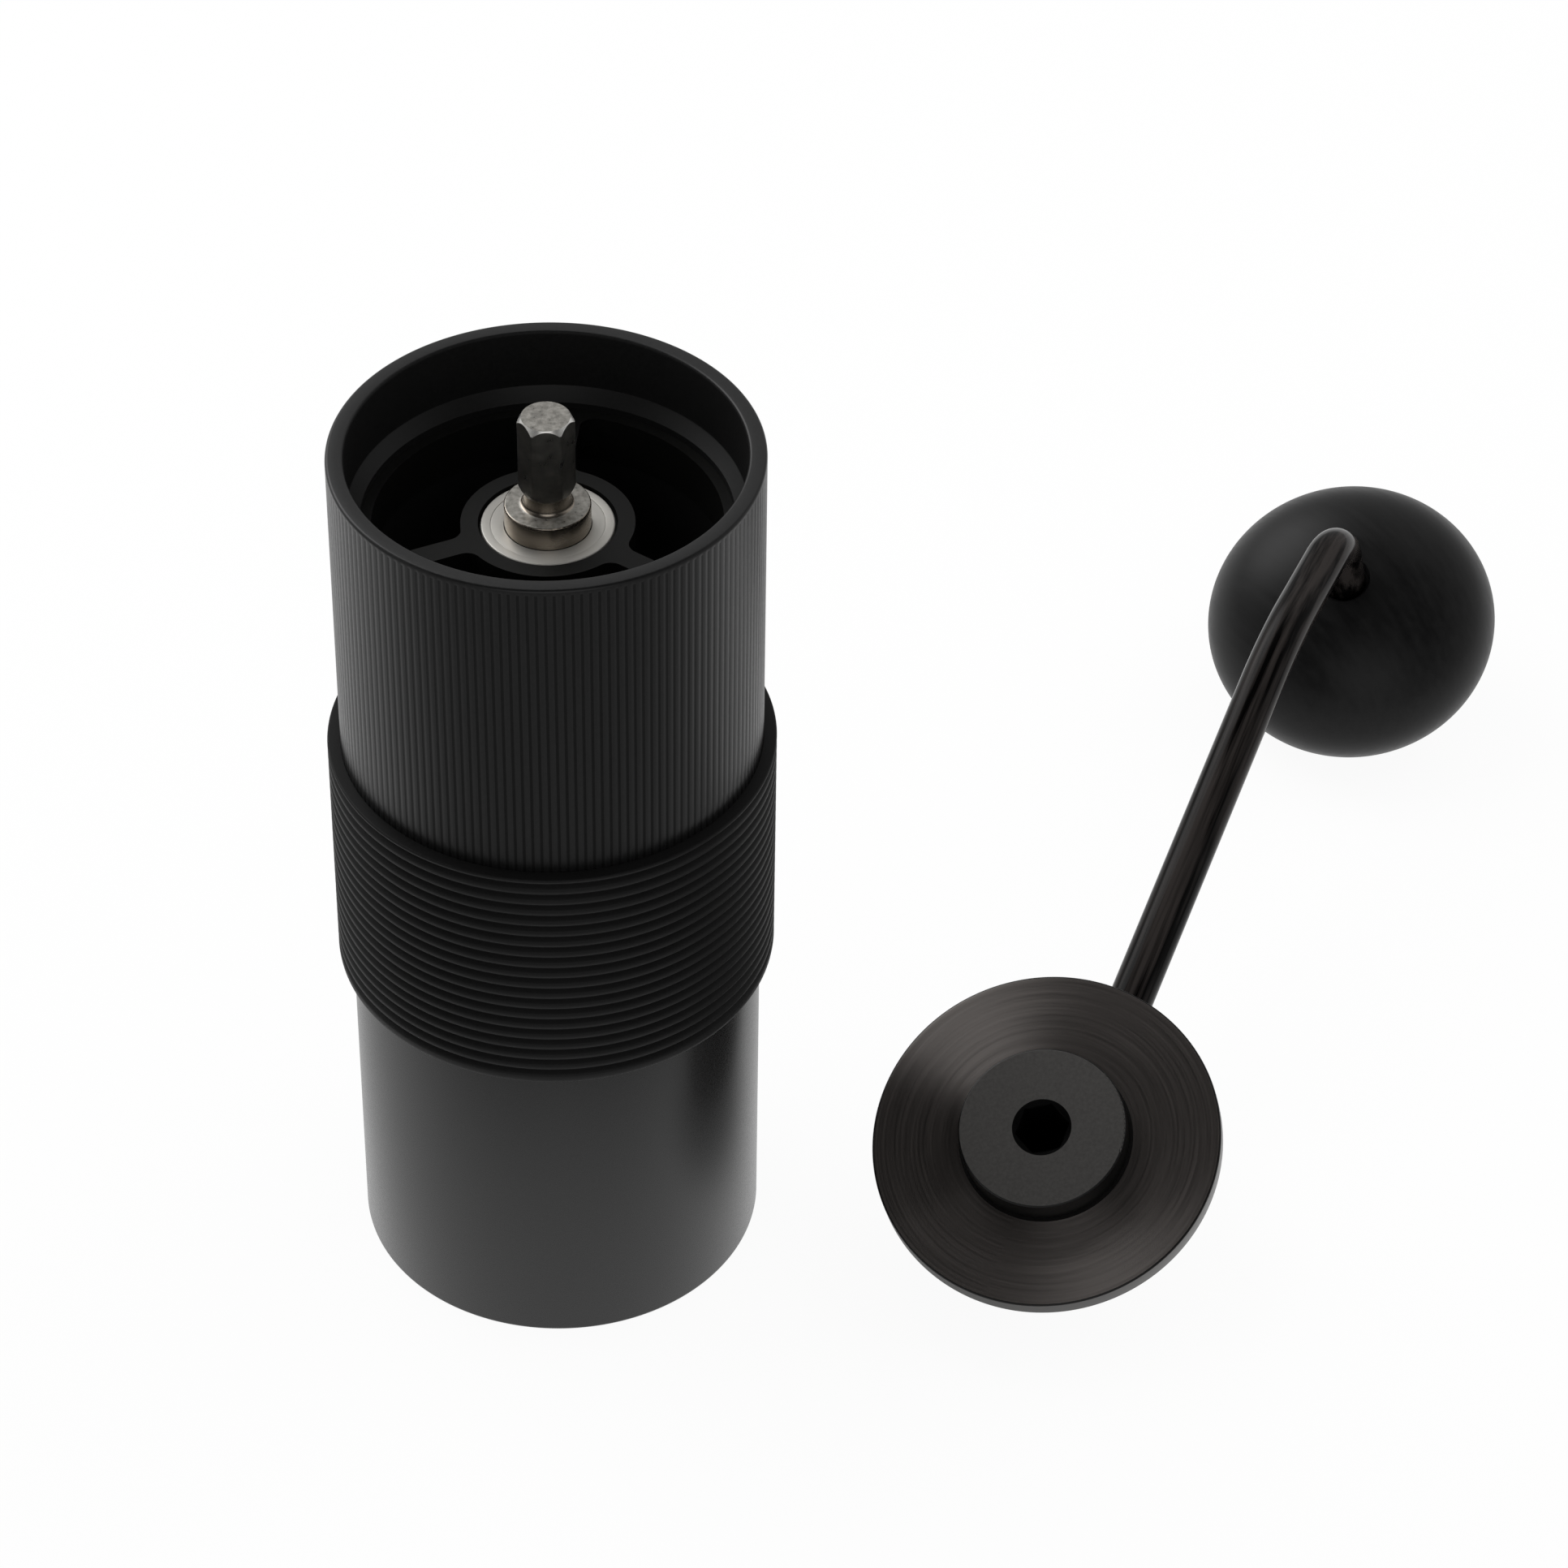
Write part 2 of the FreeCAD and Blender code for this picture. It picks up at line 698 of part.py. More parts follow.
def flat_ring(name, inner, outer, foot, thickness):
    """A plain ring about the grinder's axis."""
    body = new_body(name)
    top = foot + thickness
    revolve(body, "ring", [(inner, foot), (outer, foot), (outer, top), (inner, top)])
    return body


flat_ring("shaft_circlip", circlip_groove_radius + S["press_fit"], shaft_radius + S["circlip_width"],
          circlip_foot, S["circlip_thickness"])
spring_outer = S["spring_diameter"] / 2
flat_ring("spring_washer", shaft_radius + S["running_fit"], spring_outer + S["spring_wire"] / 2,
          washer_foot, S["spring_washer_thickness"])

# Burr spring: plain helix between the burr's pocket and the washer
wire_radius = S["spring_wire"] / 2
coil_radius = spring_outer - wire_radius
coil_rise = washer_foot - spring_foot - S["spring_wire"]
spring = new_body("burr_spring")
wire_sketch = new_sketch(spring, "wire", "XZ_Plane")
draw_circle(wire_sketch, wire_radius, coil_radius, spring_foot + wire_radius)
coil = spring.newObject("PartDesign::AdditiveHelix", "burr_spring_coil")
coil.Profile = wire_sketch
coil.ReferenceAxis = (wire_sketch, ["V_Axis"])
coil.Mode = 0
bind(coil, "Pitch", coil_rise / S["spring_turns"])
bind(coil, "Height", coil_rise)

# Inner burr: cone with spiral crushing flutes above and fine teeth below
inner_burr = new_body("inner_burr")
burr_top_radius = S["inner_burr_top"] / 2
burr_base_radius = burr_bore_radius - S["inner_burr_inset"]
burr_rim_top = inner_burr_foot + S["inner_burr_rim"]
cone_height = S["inner_burr_height"] - S["inner_burr_rim"]
cone_slope = (burr_base_radius - burr_top_radius) / cone_height
pocket_radius = spring_outer + S["spring_wire"]
revolve(inner_burr, "cone", [
    (0, inner_burr_foot),
    (burr_base_radius, inner_burr_foot),
    (burr_base_radius, burr_rim_top),
    (burr_top_radius, inner_burr_head),
    (pocket_radius, inner_burr_head),
    (pocket_radius, spring_foot),
    (0, spring_foot),
])


def cone_radius(height):
    """Radius of the inner burr's cone at a height."""
    return burr_base_radius - (height - burr_rim_top) * cone_slope


flute_foot = outer_burr_foot + S["fine_zone_height"]
flute_turn = S["crush_flute_twist"]
flute_half = 150 / S["crush_flute_count"]
crush_flute = loft_cut(inner_burr, "crush_flute", [
    (inner_burr_head + 0.5, groove_section(cone_radius(inner_burr_head) - S["crush_flute_depth"] / 2,
                                           cone_radius(inner_burr_head) + 2.5, flute_half, flute_turn)),
    (flute_foot, groove_section(cone_radius(flute_foot) - S["crush_flute_depth"] / 2,
                                cone_radius(flute_foot) + 2.5, flute_half * 0.55, as_size(0))),
])
repeat_round(inner_burr, "crush_flutes", crush_flute, S["crush_flute_count"])
fine_half = 150 / S["fine_tooth_count"]
fine_top = flute_foot + 1.5
fine_tooth = loft_cut(inner_burr, "fine_groove", [
    (inner_burr_foot - 0.5, groove_section(burr_base_radius - S["fine_tooth_depth"],
                                           burr_base_radius + 1.5, fine_half, as_size(0))),
    (burr_rim_top, groove_section(burr_base_radius - S["fine_tooth_depth"],
                                  burr_base_radius + 1.5, fine_half, S["fine_tooth_twist"] / 5)),
    (fine_top, groove_section(cone_radius(fine_top) - 0.1,
                              cone_radius(fine_top) + 1.5, fine_half, S["fine_tooth_twist"])),
])
repeat_round(inner_burr, "fine_grooves", fine_tooth, S["fine_tooth_count"])


def draw_drive_hole(sketch):
    """Round hole with two flats that slides on the shaft."""
    radius = shaft_radius + S["running_fit"]
    half = S["drive_flats"] / 2 + S["running_fit"]
    span = math.sqrt(radius.number ** 2 - half.number ** 2)
    corners = [FreeCAD.Vector(x * half.number, y * span, 0) for x, y in ((1, -1), (1, 1), (-1, 1), (-1, -1))]
    right = sketch.addGeometry(Part.LineSegment(corners[0], corners[1]))
    left = sketch.addGeometry(Part.LineSegment(corners[2], corners[3]))
    far = FreeCAD.Vector(0, radius.number, 0)
    upper = sketch.addGeometry(Part.Arc(corners[1], far, corners[2]))
    lower = sketch.addGeometry(Part.Arc(corners[3], far * -1, corners[0]))
    for first, end, second, start in ((right, 2, upper, 1), (upper, 2, left, 1),
                                      (left, 2, lower, 1), (lower, 2, right, 1)):
        sketch.addConstraint(Sketcher.Constraint("Coincident", first, end, second, start))
    sketch.addConstraint(Sketcher.Constraint("Vertical", right))
    sketch.addConstraint(Sketcher.Constraint("Vertical", left))
    for arc in (upper, lower):
        sketch.addConstraint(Sketcher.Constraint("Coincident", arc, 3, -1, 1))
        index = sketch.addConstraint(Sketcher.Constraint("Radius", arc, radius.number))
        bind(sketch, f"Constraints[{index}]", radius)
    for line, sign in ((right, 1), (left, -1)):
        index = sketch.addConstraint(Sketcher.Constraint("DistanceX", -1, 1, line, 1, sign * half.number))
        bind(sketch, f"Constraints[{index}]", half * sign)


pocket_up(inner_burr, "drive_hole", draw_drive_hole, inner_burr_foot - 1, S["inner_burr_height"])

# Outer burr: ring with crushing teeth in its throat and fine teeth at its foot
outer_burr = new_body("outer_burr")
outer_burr_radius = burr_bore_radius - S["press_fit"]
feed_radius = burr_bore_radius - S["feed_wall"]


def ring_throat(height):
    """Radius of the outer burr's fine zone, a set gap outside the cone."""
    return cone_radius(height) + S["grind_gap"]


revolve(outer_burr, "ring", [
    (ring_throat(outer_burr_foot), outer_burr_foot),
    (outer_burr_radius, outer_burr_foot),
    (outer_burr_radius, outer_burr_top),
    (feed_radius, outer_burr_top),
    (ring_throat(flute_foot), flute_foot),
])
feed_half = 100 / S["feed_tooth_count"]
feed_groove = loft_cut(outer_burr, "feed_groove", [
    (outer_burr_top + 0.5, groove_section(feed_radius + S["feed_tooth_depth"],
                                          feed_radius - 2.5, feed_half, as_size(0))),
    (flute_foot + 1, groove_section(ring_throat(flute_foot) + 0.1,
                                    ring_throat(flute_foot) - 2.5, feed_half, S["crush_flute_twist"] / 2)),
])
repeat_round(outer_burr, "feed_grooves", feed_groove, S["feed_tooth_count"])
ring_groove = loft_cut(outer_burr, "fine_groove", [
    (outer_burr_foot - 0.5, groove_section(ring_throat(outer_burr_foot) + S["fine_tooth_depth"],
                                           ring_throat(outer_burr_foot) - 1.5, fine_half, as_size(0))),
    (flute_foot + 1, groove_section(ring_throat(flute_foot + 1) + S["fine_tooth_depth"],
                                    ring_throat(flute_foot + 1) - 1.5, fine_half, S["fine_tooth_twist"])),
])
repeat_round(outer_burr, "fine_grooves", ring_groove, S["fine_tooth_count"])

# Retaining ring with two spanner slots
ring_opening = burr_bore_radius - S["retaining_ring_width"]
ring = flat_ring("burr_retaining_ring", ring_opening, burr_bore_radius - S["press_fit"],
                 ring_foot, S["retaining_ring_height"])


def draw_spanner_slot(sketch):
    """One slot across the ring's width."""
    half = S["spoke_width"] / 2
    draw_outline(sketch, [(ring_opening - 1, 0 - half), (burr_bore_radius + 1, 0 - half),
                          (burr_bore_radius + 1, half), (ring_opening - 1, half)])


slot = pocket_up(ring, "spanner_slot", draw_spanner_slot, ring_foot, S["retaining_ring_height"] / 2)
repeat_round(ring, "spanner_slots", slot, as_size(4))

# Click plate with a ring of dimple holes
plate = new_body("click_plate")
plate_radius = S["click_plate_diameter"] / 2
click_radius = S["click_circle"] / 2
pad(plate, "disc", lambda sketch: draw_circle(sketch, plate_radius),
    click_plate_foot, S["click_plate_thickness"])
pocket_up(plate, "drive_hole", draw_drive_hole, click_plate_foot, S["click_plate_thickness"])
dimple = pocket_up(plate, "dimple", lambda sketch: draw_circle(sketch, S["click_hole_diameter"] / 2, click_radius),
                   click_plate_foot, S["click_plate_thickness"])
repeat_round(plate, "dimples", dimple, S["click_hole_count"])

# Grind dial: lobed nut with a dished foot, a relief for the shaft's flats and two ball pockets
dial = new_body("adjuster_dial")
dial_radius = S["dial_diameter"] / 2
dial_bore = thread_radius + S["running_fit"]
relief_radius = shaft_radius + S["touch_gap"] * 2
relief_floor = flats_foot - S["touch_gap"] * 2
dial_hub_radius = S["dial_hub_diameter"] / 2
dish_top = dial_foot + S["dial_dish"]
revolve(dial, "turned", [
    (dial_bore, dial_foot),
    (dial_hub_radius, dial_foot),
    (dial_hub_radius, dish_top),
    (dial_radius - S["dial_dish"] * 1.5, dish_top),
    (dial_radius - S["dial_dish"], dial_foot),
    (dial_radius, dial_foot + S["dial_lobe_depth"]),
    (dial_radius, dial_top - S["dial_lobe_depth"]),
    (dial_radius - S["dial_lobe_depth"], dial_top),
    (relief_radius, dial_top),
    (relief_radius, relief_floor),
    (dial_bore, relief_floor),
])
lobe_cut_radius = S["dial_lobe_depth"] * 2
lobe_cut = pocket_up(dial, "lobe_cut", lambda sketch: draw_circle(
    sketch, lobe_cut_radius, dial_radius + S["dial_lobe_depth"]), dial_foot - 1, S["dial_height"] + 2)
repeat_round(dial, "lobe_cuts", lobe_cut, S["dial_lobe_count"])
ball_radius = S["detent_ball_diameter"] / 2
pocket_depth = S["detent_ball_diameter"] + S["touch_gap"]
ball_pocket = pocket_up(dial, "ball_pocket", lambda sketch: draw_circle(
    sketch, ball_radius + S["running_fit"], click_radius), dial_top - pocket_depth, pocket_depth)
repeat_round(dial, "ball_pockets", ball_pocket, S["detent_ball_count"])
detents = []
for k in range(int(S["detent_ball_count"].number)):
    angle = 2 * math.pi * k / S["detent_ball_count"].number
    centre_height = (dial_top - S["touch_gap"] / 2 - ball_radius).number
    detents.append(Part.makeSphere(ball_radius.number, FreeCAD.Vector(
        click_radius.number * math.cos(angle), click_radius.number * math.sin(angle), centre_height)))
shape_piece("detent_balls", Part.makeCompound(detents))

# Crank, in its own frame: boss foot at zero, lid underside at the boss height
lid_foot = S["boss_height"]
lid_top = lid_foot + S["lid_thickness"]
arm_height = lid_foot + S["arm_lift"]
arm_radius = S["arm_diameter"] / 2
hub_top = arm_height + arm_radius + S["hub_cover"]
hub_radius = S["hub_diameter"] / 2
boss_radius = S["boss_diameter"] / 2
lid_radius = mouth_radius - S["lid_clearance"]
socket_depth = shaft_top - collar_top + S["socket_end_gap"]
socket_flats = S["hex_flats"] + S["hex_fit"] * 2
knob_half = S["knob_thickness"] / 2
knob_radius = S["knob_diameter"] / 2
knob_middle = lid_foot + S["knob_lift"]


def resting_tilt():
    """Tilt, in radians, at which the crank lies on its hub's top edge and on its knob."""
    reach = (hub_radius - S["hub_chamfer"] + S["knob_reach"]).number
    drop = (knob_middle - hub_top).number
    wide = knob_radius.number
    high = knob_half.number
    inside = (reach * drop) ** 2 - (reach ** 2 - wide ** 2) * (drop ** 2 - high ** 2)
    return math.atan((reach * drop + math.sqrt(inside)) / (reach ** 2 - wide ** 2))


crank_tilt = resting_tilt()
foot_height = ((hub_radius - S["hub_chamfer"]).number * math.sin(crank_tilt)
               + hub_top.number * math.cos(crank_tilt))
lean = lid_foot.number * math.sin(crank_tilt)
heading = math.radians(S["crank_heading"].number)
crank_place = FreeCAD.Placement(
    FreeCAD.Vector(S["crank_place_x"].number - lean * math.cos(heading),
                   S["crank_place_y"].number - lean * math.sin(heading), foot_height),
    FreeCAD.Rotation(S["crank_heading"].number, -math.degrees(crank_tilt), 180))
crank_pieces = []

# Lid disc, held between the hub's boss and a retaining ring
lid = new_body("crank_lid")
revolve(lid, "disc", [
    (hub_radius + S["press_fit"], lid_foot),
    (lid_radius, lid_foot, S["lid_edge"]),
    (lid_radius, lid_top, S["lid_edge"]),
    (hub_radius + S["press_fit"], lid_top),
])
crank_pieces.append(lid)

# Hub: boss with the hexagon socket below the lid, post with the arm's cross hole above it
hub = new_body("crank_hub")
ring_groove_radius = hub_radius - S["lid_ring_groove"]
ring_top = lid_top + S["lid_ring_thickness"]
revolve(hub, "turned", [
    (0, 0),
    (boss_radius, 0, S["lid_edge"]),
    (boss_radius, lid_foot),
    (hub_radius, lid_foot),
    (hub_radius, lid_top),
    (ring_groove_radius, lid_top),
    (ring_groove_radius, ring_top),
    (hub_radius, ring_top),
    (hub_radius, hub_top - S["hub_chamfer"]),
    (hub_radius - S["hub_chamfer"], hub_top),
    (0, hub_top),
])
pocket_up(hub, "socket", lambda sketch: draw_outline(sketch, hexagon(socket_flats)), as_size(0), socket_depth)
lead_radius = socket_flats / math.sqrt(3) + S["socket_lead_in"] / 2
revolve(hub, "lead_in", [
    (0, as_size(0) - 1),
    (lead_radius + 1, as_size(0) - 1),
    (lead_radius - S["socket_lead_in"], S["socket_lead_in"]),
    (0, S["socket_lead_in"]),
], cut=True)
grub_radius = S["grub_diameter"] / 2
grub_foot = arm_height + arm_radius
grub_top = hub_top - S["grub_sink"]
pocket_up(hub, "grub_hole", lambda sketch: draw_circle(sketch, grub_radius + S["press_fit"]),
          arm_height, hub_top - arm_height + 1)
crank_pieces.append(hub)

# Arm: 6 mm rod out of the hub, up at the elbow and up again into the knob
slope_rise = Size(math.tan(math.radians(S["arm_slope"].number)), "tan(sizes.arm_slope * 1 deg)")
elbow_rise = Size(math.tan(math.radians(S["elbow_slope"].number)), "tan(sizes.elbow_slope * 1 deg)")
elbow_height = arm_height + S["elbow_reach"] * slope_rise
spindle_bend = elbow_height + (S["knob_reach"] - S["elbow_reach"]) * elbow_rise
knob_foot = knob_middle - knob_half + S["knob_flat"]
knob_top = knob_middle + knob_half
bush_foot = knob_foot + S["bush_inset"]
recess_floor = knob_top - S["knob_recess_depth"]
spindle_top = recess_floor + S["bush_play"]
arm_start = S["arm_inset"] - hub_radius


def bent_path(points, radii):
    """Straight runs joined by tangent arcs."""
    edges = []
    last = points[0]
    for k, radius in enumerate(radii, start=1):
        back = (points[k - 1] - points[k]).normalize()
        ahead = (points[k + 1] - points[k]).normalize()
        half_angle = back.getAngle(ahead) / 2
        setback = radius / math.tan(half_angle)
        start = points[k] + back * setback
        end = points[k] + ahead * setback
        inward = (back + ahead).normalize()
        middle = points[k] + inward * (radius / math.sin(half_angle) - radius)
        edges.append(Part.LineSegment(last, start).toShape())
        edges.append(Part.Arc(start, middle, end).toShape())
        last = end
    edges.append(Part.LineSegment(last, points[-1]).toShape())
    return Part.Wire(edges)


arm_points = [
    FreeCAD.Vector(arm_start.number, 0, (arm_height + arm_start * slope_rise).number),
    FreeCAD.Vector(S["elbow_reach"].number, 0, elbow_height.number),
    FreeCAD.Vector(S["knob_reach"].number, 0, spindle_bend.number),
    FreeCAD.Vector(S["knob_reach"].number, 0, spindle_top.number),
]
arm_path = bent_path(arm_points, [S["elbow_radius"].number, S["spindle_radius"].number])


def swept_rod(path, radius):
    """A round rod along a path, with square ends."""
    start = path.Edges[0].Vertexes[0].Point
    along = path.Edges[0].tangentAt(path.Edges[0].FirstParameter)
    section = Part.Wire([Part.Circle(start, along, radius).toShape()])
    return path.makePipeShell([section], True, True)


screw_hole = Part.makeCylinder(
    (S["knob_screw_diameter"] / 2 + S["press_fit"]).number, S["knob_screw_length"].number,
    FreeCAD.Vector(S["knob_reach"].number, 0, (spindle_top - S["knob_screw_length"]).number))
arm_shape = swept_rod(arm_path, arm_radius.number).cut(screw_hole)
grub_flat = Part.makeCylinder((grub_radius * 2).number, arm_radius.number,
                              FreeCAD.Vector(0, 0, (grub_foot - S["press_fit"] - S["touch_gap"]).number))
crank_pieces.append(shape_piece("crank_arm", arm_shape.cut(grub_flat)))

# The arm's cross hole follows the rod's first run
hole_length = hub_radius * 4
hole_turn = 90 - S["arm_slope"].number
cross_hole = doc.addObject("Part::Cylinder", "arm_cross_hole")
bind(cross_hole, "Radius", arm_radius + S["press_fit"])
bind(cross_hole, "Height", hole_length)
along_arm = FreeCAD.Vector(math.cos(math.radians(S["arm_slope"].number)), 0,
                           math.sin(math.radians(S["arm_slope"].number)))
cross_hole.Placement = FreeCAD.Placement(arm_points[0], FreeCAD.Rotation(FreeCAD.Vector(0, 1, 0), hole_turn))
doc.recompute()
hub.Label = "crank_hub_blank"
drilled_hub = doc.addObject("Part::Cut", "crank_hub_drilled")
drilled_hub.Base = hub
drilled_hub.Tool = cross_hole
drilled_hub.Label = "crank_hub"
crank_pieces[crank_pieces.index(hub)] = drilled_hub

# Grub screw, retaining ring and the pieces that keep the knob on the spindle
grub = new_body("arm_grub_screw")
grub_seat = grub_foot - S["touch_gap"]
pad(grub, "shank", lambda sketch: draw_circle(sketch, grub_radius), grub_seat, grub_top - grub_seat)
pocket_up(grub, "key_socket", lambda sketch: draw_outline(sketch, hexagon(S["grub_diameter"] / 2)),
          grub_top - S["hub_cover"] / 2, S["hub_cover"])
crank_pieces.append(grub)
crank_pieces.append(flat_ring("lid_retaining_ring", ring_groove_radius + S["press_fit"],
                              hub_radius + S["lid_ring_width"], lid_top, S["lid_ring_thickness"]))


def on_spindle(piece):
    """Move a piece drawn about the crank's axis out to the knob's axis."""
    bind(piece, "Placement.Base.x", S["knob_reach"])
    return piece


collar_foot = bush_foot - S["bush_play"] - S["spindle_collar_thickness"]
spindle_collar = flat_ring("spindle_collar", arm_radius + S["press_fit"],
                           arm_radius + S["spindle_collar_width"], collar_foot,
                           S["spindle_collar_thickness"])
screw_radius = S["knob_screw_diameter"] / 2
knob_washer = flat_ring("knob_washer", screw_radius + S["running_fit"], S["knob_washer_diameter"] / 2,
                        spindle_top, S["knob_washer_thickness"])
knob_screw = new_body("knob_screw")
screw_head_foot = spindle_top + S["knob_washer_thickness"]
screw_head_top = screw_head_foot + S["knob_screw_head_height"]
revolve(knob_screw, "turned", [
    (0, spindle_top - S["knob_screw_length"] + S["touch_gap"]),
    (screw_radius, spindle_top - S["knob_screw_length"] + S["touch_gap"]),
    (screw_radius, screw_head_foot),
    (S["knob_screw_head"] / 2, screw_head_foot),
    (S["knob_screw_head"] / 2, screw_head_top, S["lid_edge"]),
    (0, screw_head_top),
])
pocket_up(knob_screw, "key_socket", lambda sketch: draw_outline(sketch, hexagon(S["knob_screw_diameter"] * 0.66)),
          screw_head_top - S["knob_screw_head_height"] / 2, S["knob_screw_head_height"])

# Knob: flattened ball bored for its bush, recessed on top for the screw and closed by a cap
ball = doc.addObject("Part::Ellipsoid", "knob_ball")
bind(ball, "Radius1", knob_half)
bind(ball, "Radius2", knob_radius)
bind(ball, "Radius3", knob_radius)
bind(ball, "Placement.Base.z", knob_middle)


def drill(name, radius, foot, top):
    """A drill cylinder between two heights."""
    tool = doc.addObject("Part::Cylinder", name)
    bind(tool, "Radius", radius)
    bind(tool, "Height", top - foot)
    bind(tool, "Placement.Base.z", foot)
    return tool


recess_radius = S["knob_recess_diameter"] / 2
bush_radius = S["bush_diameter"] / 2
cap_top = knob_top - S["knob_cap_sink"]
knob_tools = [
    drill("knob_flat_cut", knob_radius, knob_middle - knob_half * 2, knob_foot),
    drill("knob_bore_cut", bush_radius + S["press_fit"], knob_foot - 1, recess_floor + 1),
    drill("knob_recess_cut", recess_radius, recess_floor, knob_top + 1),
]
knob_blank = ball
for tool in knob_tools:
    cut = doc.addObject("Part::Cut", f"{tool.Name}_done")
    cut.Base = knob_blank
    cut.Tool = tool
    knob_blank = cut
knob_blank.Label = "knob_grip"
knob_bush = flat_ring("knob_bush", arm_radius + S["running_fit"], bush_radius, bush_foot,
                      recess_floor - bush_foot)
knob_cap = new_body("knob_cap")
cap_radius = recess_radius - S["press_fit"]
cap_foot = cap_top - S["knob_cap_thickness"]
cap_skirt = S["knob_cap_thickness"] / 2
revolve(knob_cap, "cap", [
    (0, cap_foot),
    (cap_radius - cap_skirt, cap_foot),
    (cap_radius - cap_skirt, recess_floor),
    (cap_radius, recess_floor),
    (cap_radius, cap_top, S["lid_edge"]),
    (0, cap_top),
])
for piece in (spindle_collar, knob_washer, knob_screw, knob_blank, knob_bush, knob_cap):
    crank_pieces.append(on_spindle(piece))

# Lay every crank piece down as one, then check and write the whole assembly
doc.recompute()
for piece in crank_pieces:
    own_place = piece.Placement
    piece.setExpression("Placement.Base.x", None)
    piece.Placement = crank_place.multiply(own_place)
doc.recompute()

NODES = [
    "catch_cup", "housing_tube", "grip_sleeve", "upper_bracket", "lower_bracket",
    "upper_bearing_outer_race", "upper_bearing_balls", "upper_bearing_shields", "upper_bearing_inner_race",
    "lower_bearing_outer_race", "lower_bearing_balls", "lower_bearing_shields", "lower_bearing_inner_race",
    "outer_burr", "burr_retaining_ring", "drive_shaft", "shaft_circlip", "spring_washer", "burr_spring",
    "inner_burr", "click_plate", "adjuster_dial", "detent_balls", "crank_lid", "crank_hub",
    "lid_retaining_ring", "crank_arm", "arm_grub_screw", "spindle_collar", "knob_washer", "knob_screw",
    "knob_grip", "knob_bush", "knob_cap",
]
failed = [item.Name for item in doc.Objects if "Invalid" in item.State or "Error" in item.State]
if failed:
    raise RuntimeError(f"features failed: {failed}")
os.makedirs("parts", exist_ok=True)
for node in NODES:
    shape = doc.getObjectsByLabel(node)[0].Shape
    if shape.isNull() or not shape.isValid():
        raise RuntimeError(f"{node} has no valid shape")
    shape.exportStep(f"parts/{node}.step")
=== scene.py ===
"""Looks for a hand crank coffee grinder that stands beside its crank."""

import logging
import math
from dataclasses import dataclass, field
from enum import Enum
from typing import Callable, Iterable, Sequence

import bmesh
import bpy
from mathutils import Matrix, Vector


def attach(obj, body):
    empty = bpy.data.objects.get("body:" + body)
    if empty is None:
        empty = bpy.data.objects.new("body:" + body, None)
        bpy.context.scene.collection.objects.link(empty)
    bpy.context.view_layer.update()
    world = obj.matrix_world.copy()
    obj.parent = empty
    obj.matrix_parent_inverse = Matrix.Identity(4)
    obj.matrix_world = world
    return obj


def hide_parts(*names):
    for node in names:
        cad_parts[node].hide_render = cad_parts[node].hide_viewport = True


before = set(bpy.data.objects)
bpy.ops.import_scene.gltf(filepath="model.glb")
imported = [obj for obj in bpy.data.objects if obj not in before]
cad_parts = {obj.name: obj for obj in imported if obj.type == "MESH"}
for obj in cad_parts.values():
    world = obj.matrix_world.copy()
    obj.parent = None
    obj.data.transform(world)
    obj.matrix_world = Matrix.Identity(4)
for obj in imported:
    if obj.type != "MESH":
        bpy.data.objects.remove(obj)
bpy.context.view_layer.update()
LOG = logging.getLogger("grinder")

# Metres in a millimetre
MM = 0.001
# Gaps in metres within which points count as one, corners merge, slivers go and cuts snap
NEAR = 1e-6
WELD = 1e-7
SLIVER = 1e-8
SNAP = 1e-9
# Faces round a turned piece, round a finer one, round a thread's turn and across a rounded corner
TURN_STEPS = 160
FINE_STEPS = 192
THREAD_STEPS = 96
ROUND_STEPS = 5
# Degrees past which an edge stays crisp
CRISP = 32.0
# Share of a normal along an axis above which a face is flat, and below which it is upright
FLAT = 0.9
UPRIGHT = 0.3
# Millimetres between pieces that fit together, and that a thread's root is sunk into its wall
FIT = 0.02
THREAD_SINK = 0.05
# Half the width of a thread's root and of its crest, as shares of the pitch
THREAD_ROOT = 0.4
THREAD_CREST = 0.1
# Name of the map that goes round a turned piece, and how often it repeats in a metre
TURNING = "turning"
TURNING_REPEAT = 10.0
# Quarter turn that sets the stretched highlights across the lathe marks
ACROSS_MARKS = 0.25
# Fineness of every pattern
PATTERN_DETAIL = 4.0
PATTERN_ROUGHNESS = 0.6
WHITE = (1.0, 1.0, 1.0, 1.0)

Corner = tuple[float, ...]
Pair = tuple[float, float]
Triple = tuple[float, float, float]
Tree = bpy.types.NodeTree
Socket = bpy.types.NodeSocket
Mesh = bmesh.types.BMesh
Face = bmesh.types.BMFace
Edges = list[bmesh.types.BMEdge]
Change = Callable[[Mesh], None]


class Shape(Enum):
    """How an outline of corners is joined up before it is turned."""

    OPEN = "open"
    CLOSED = "closed"


class Grain(Enum):
    """Which coordinates a finish takes its pattern from."""

    SURFACE = "Object"
    RINGS = "UV"


class Ease(Enum):
    """How a level goes from one end to the other."""

    STRAIGHT = "LINEAR"
    SOFT = "SMOOTHSTEP"


def remap(tree: Tree, value: Socket, span: Pair, ends: Pair, ease: Ease = Ease.STRAIGHT) -> Socket:
    """Add a step from one level to another.

    Args:
        tree: The node tree to add to.
        value: What the step follows.
        span: Where the step starts and ends.
        ends: The level before it and after it.
        ease: How it gets from one to the other.

    Returns:
        A socket with the level.
    """
    step = tree.nodes.new("ShaderNodeMapRange")
    step.interpolation_type = ease.value
    for name, amount in zip(("From Min", "From Max", "To Min", "To Max"), (*span, *ends)):
        step.inputs[name].default_value = amount
    tree.links.new(value, step.inputs["Value"])
    return step.outputs["Result"]


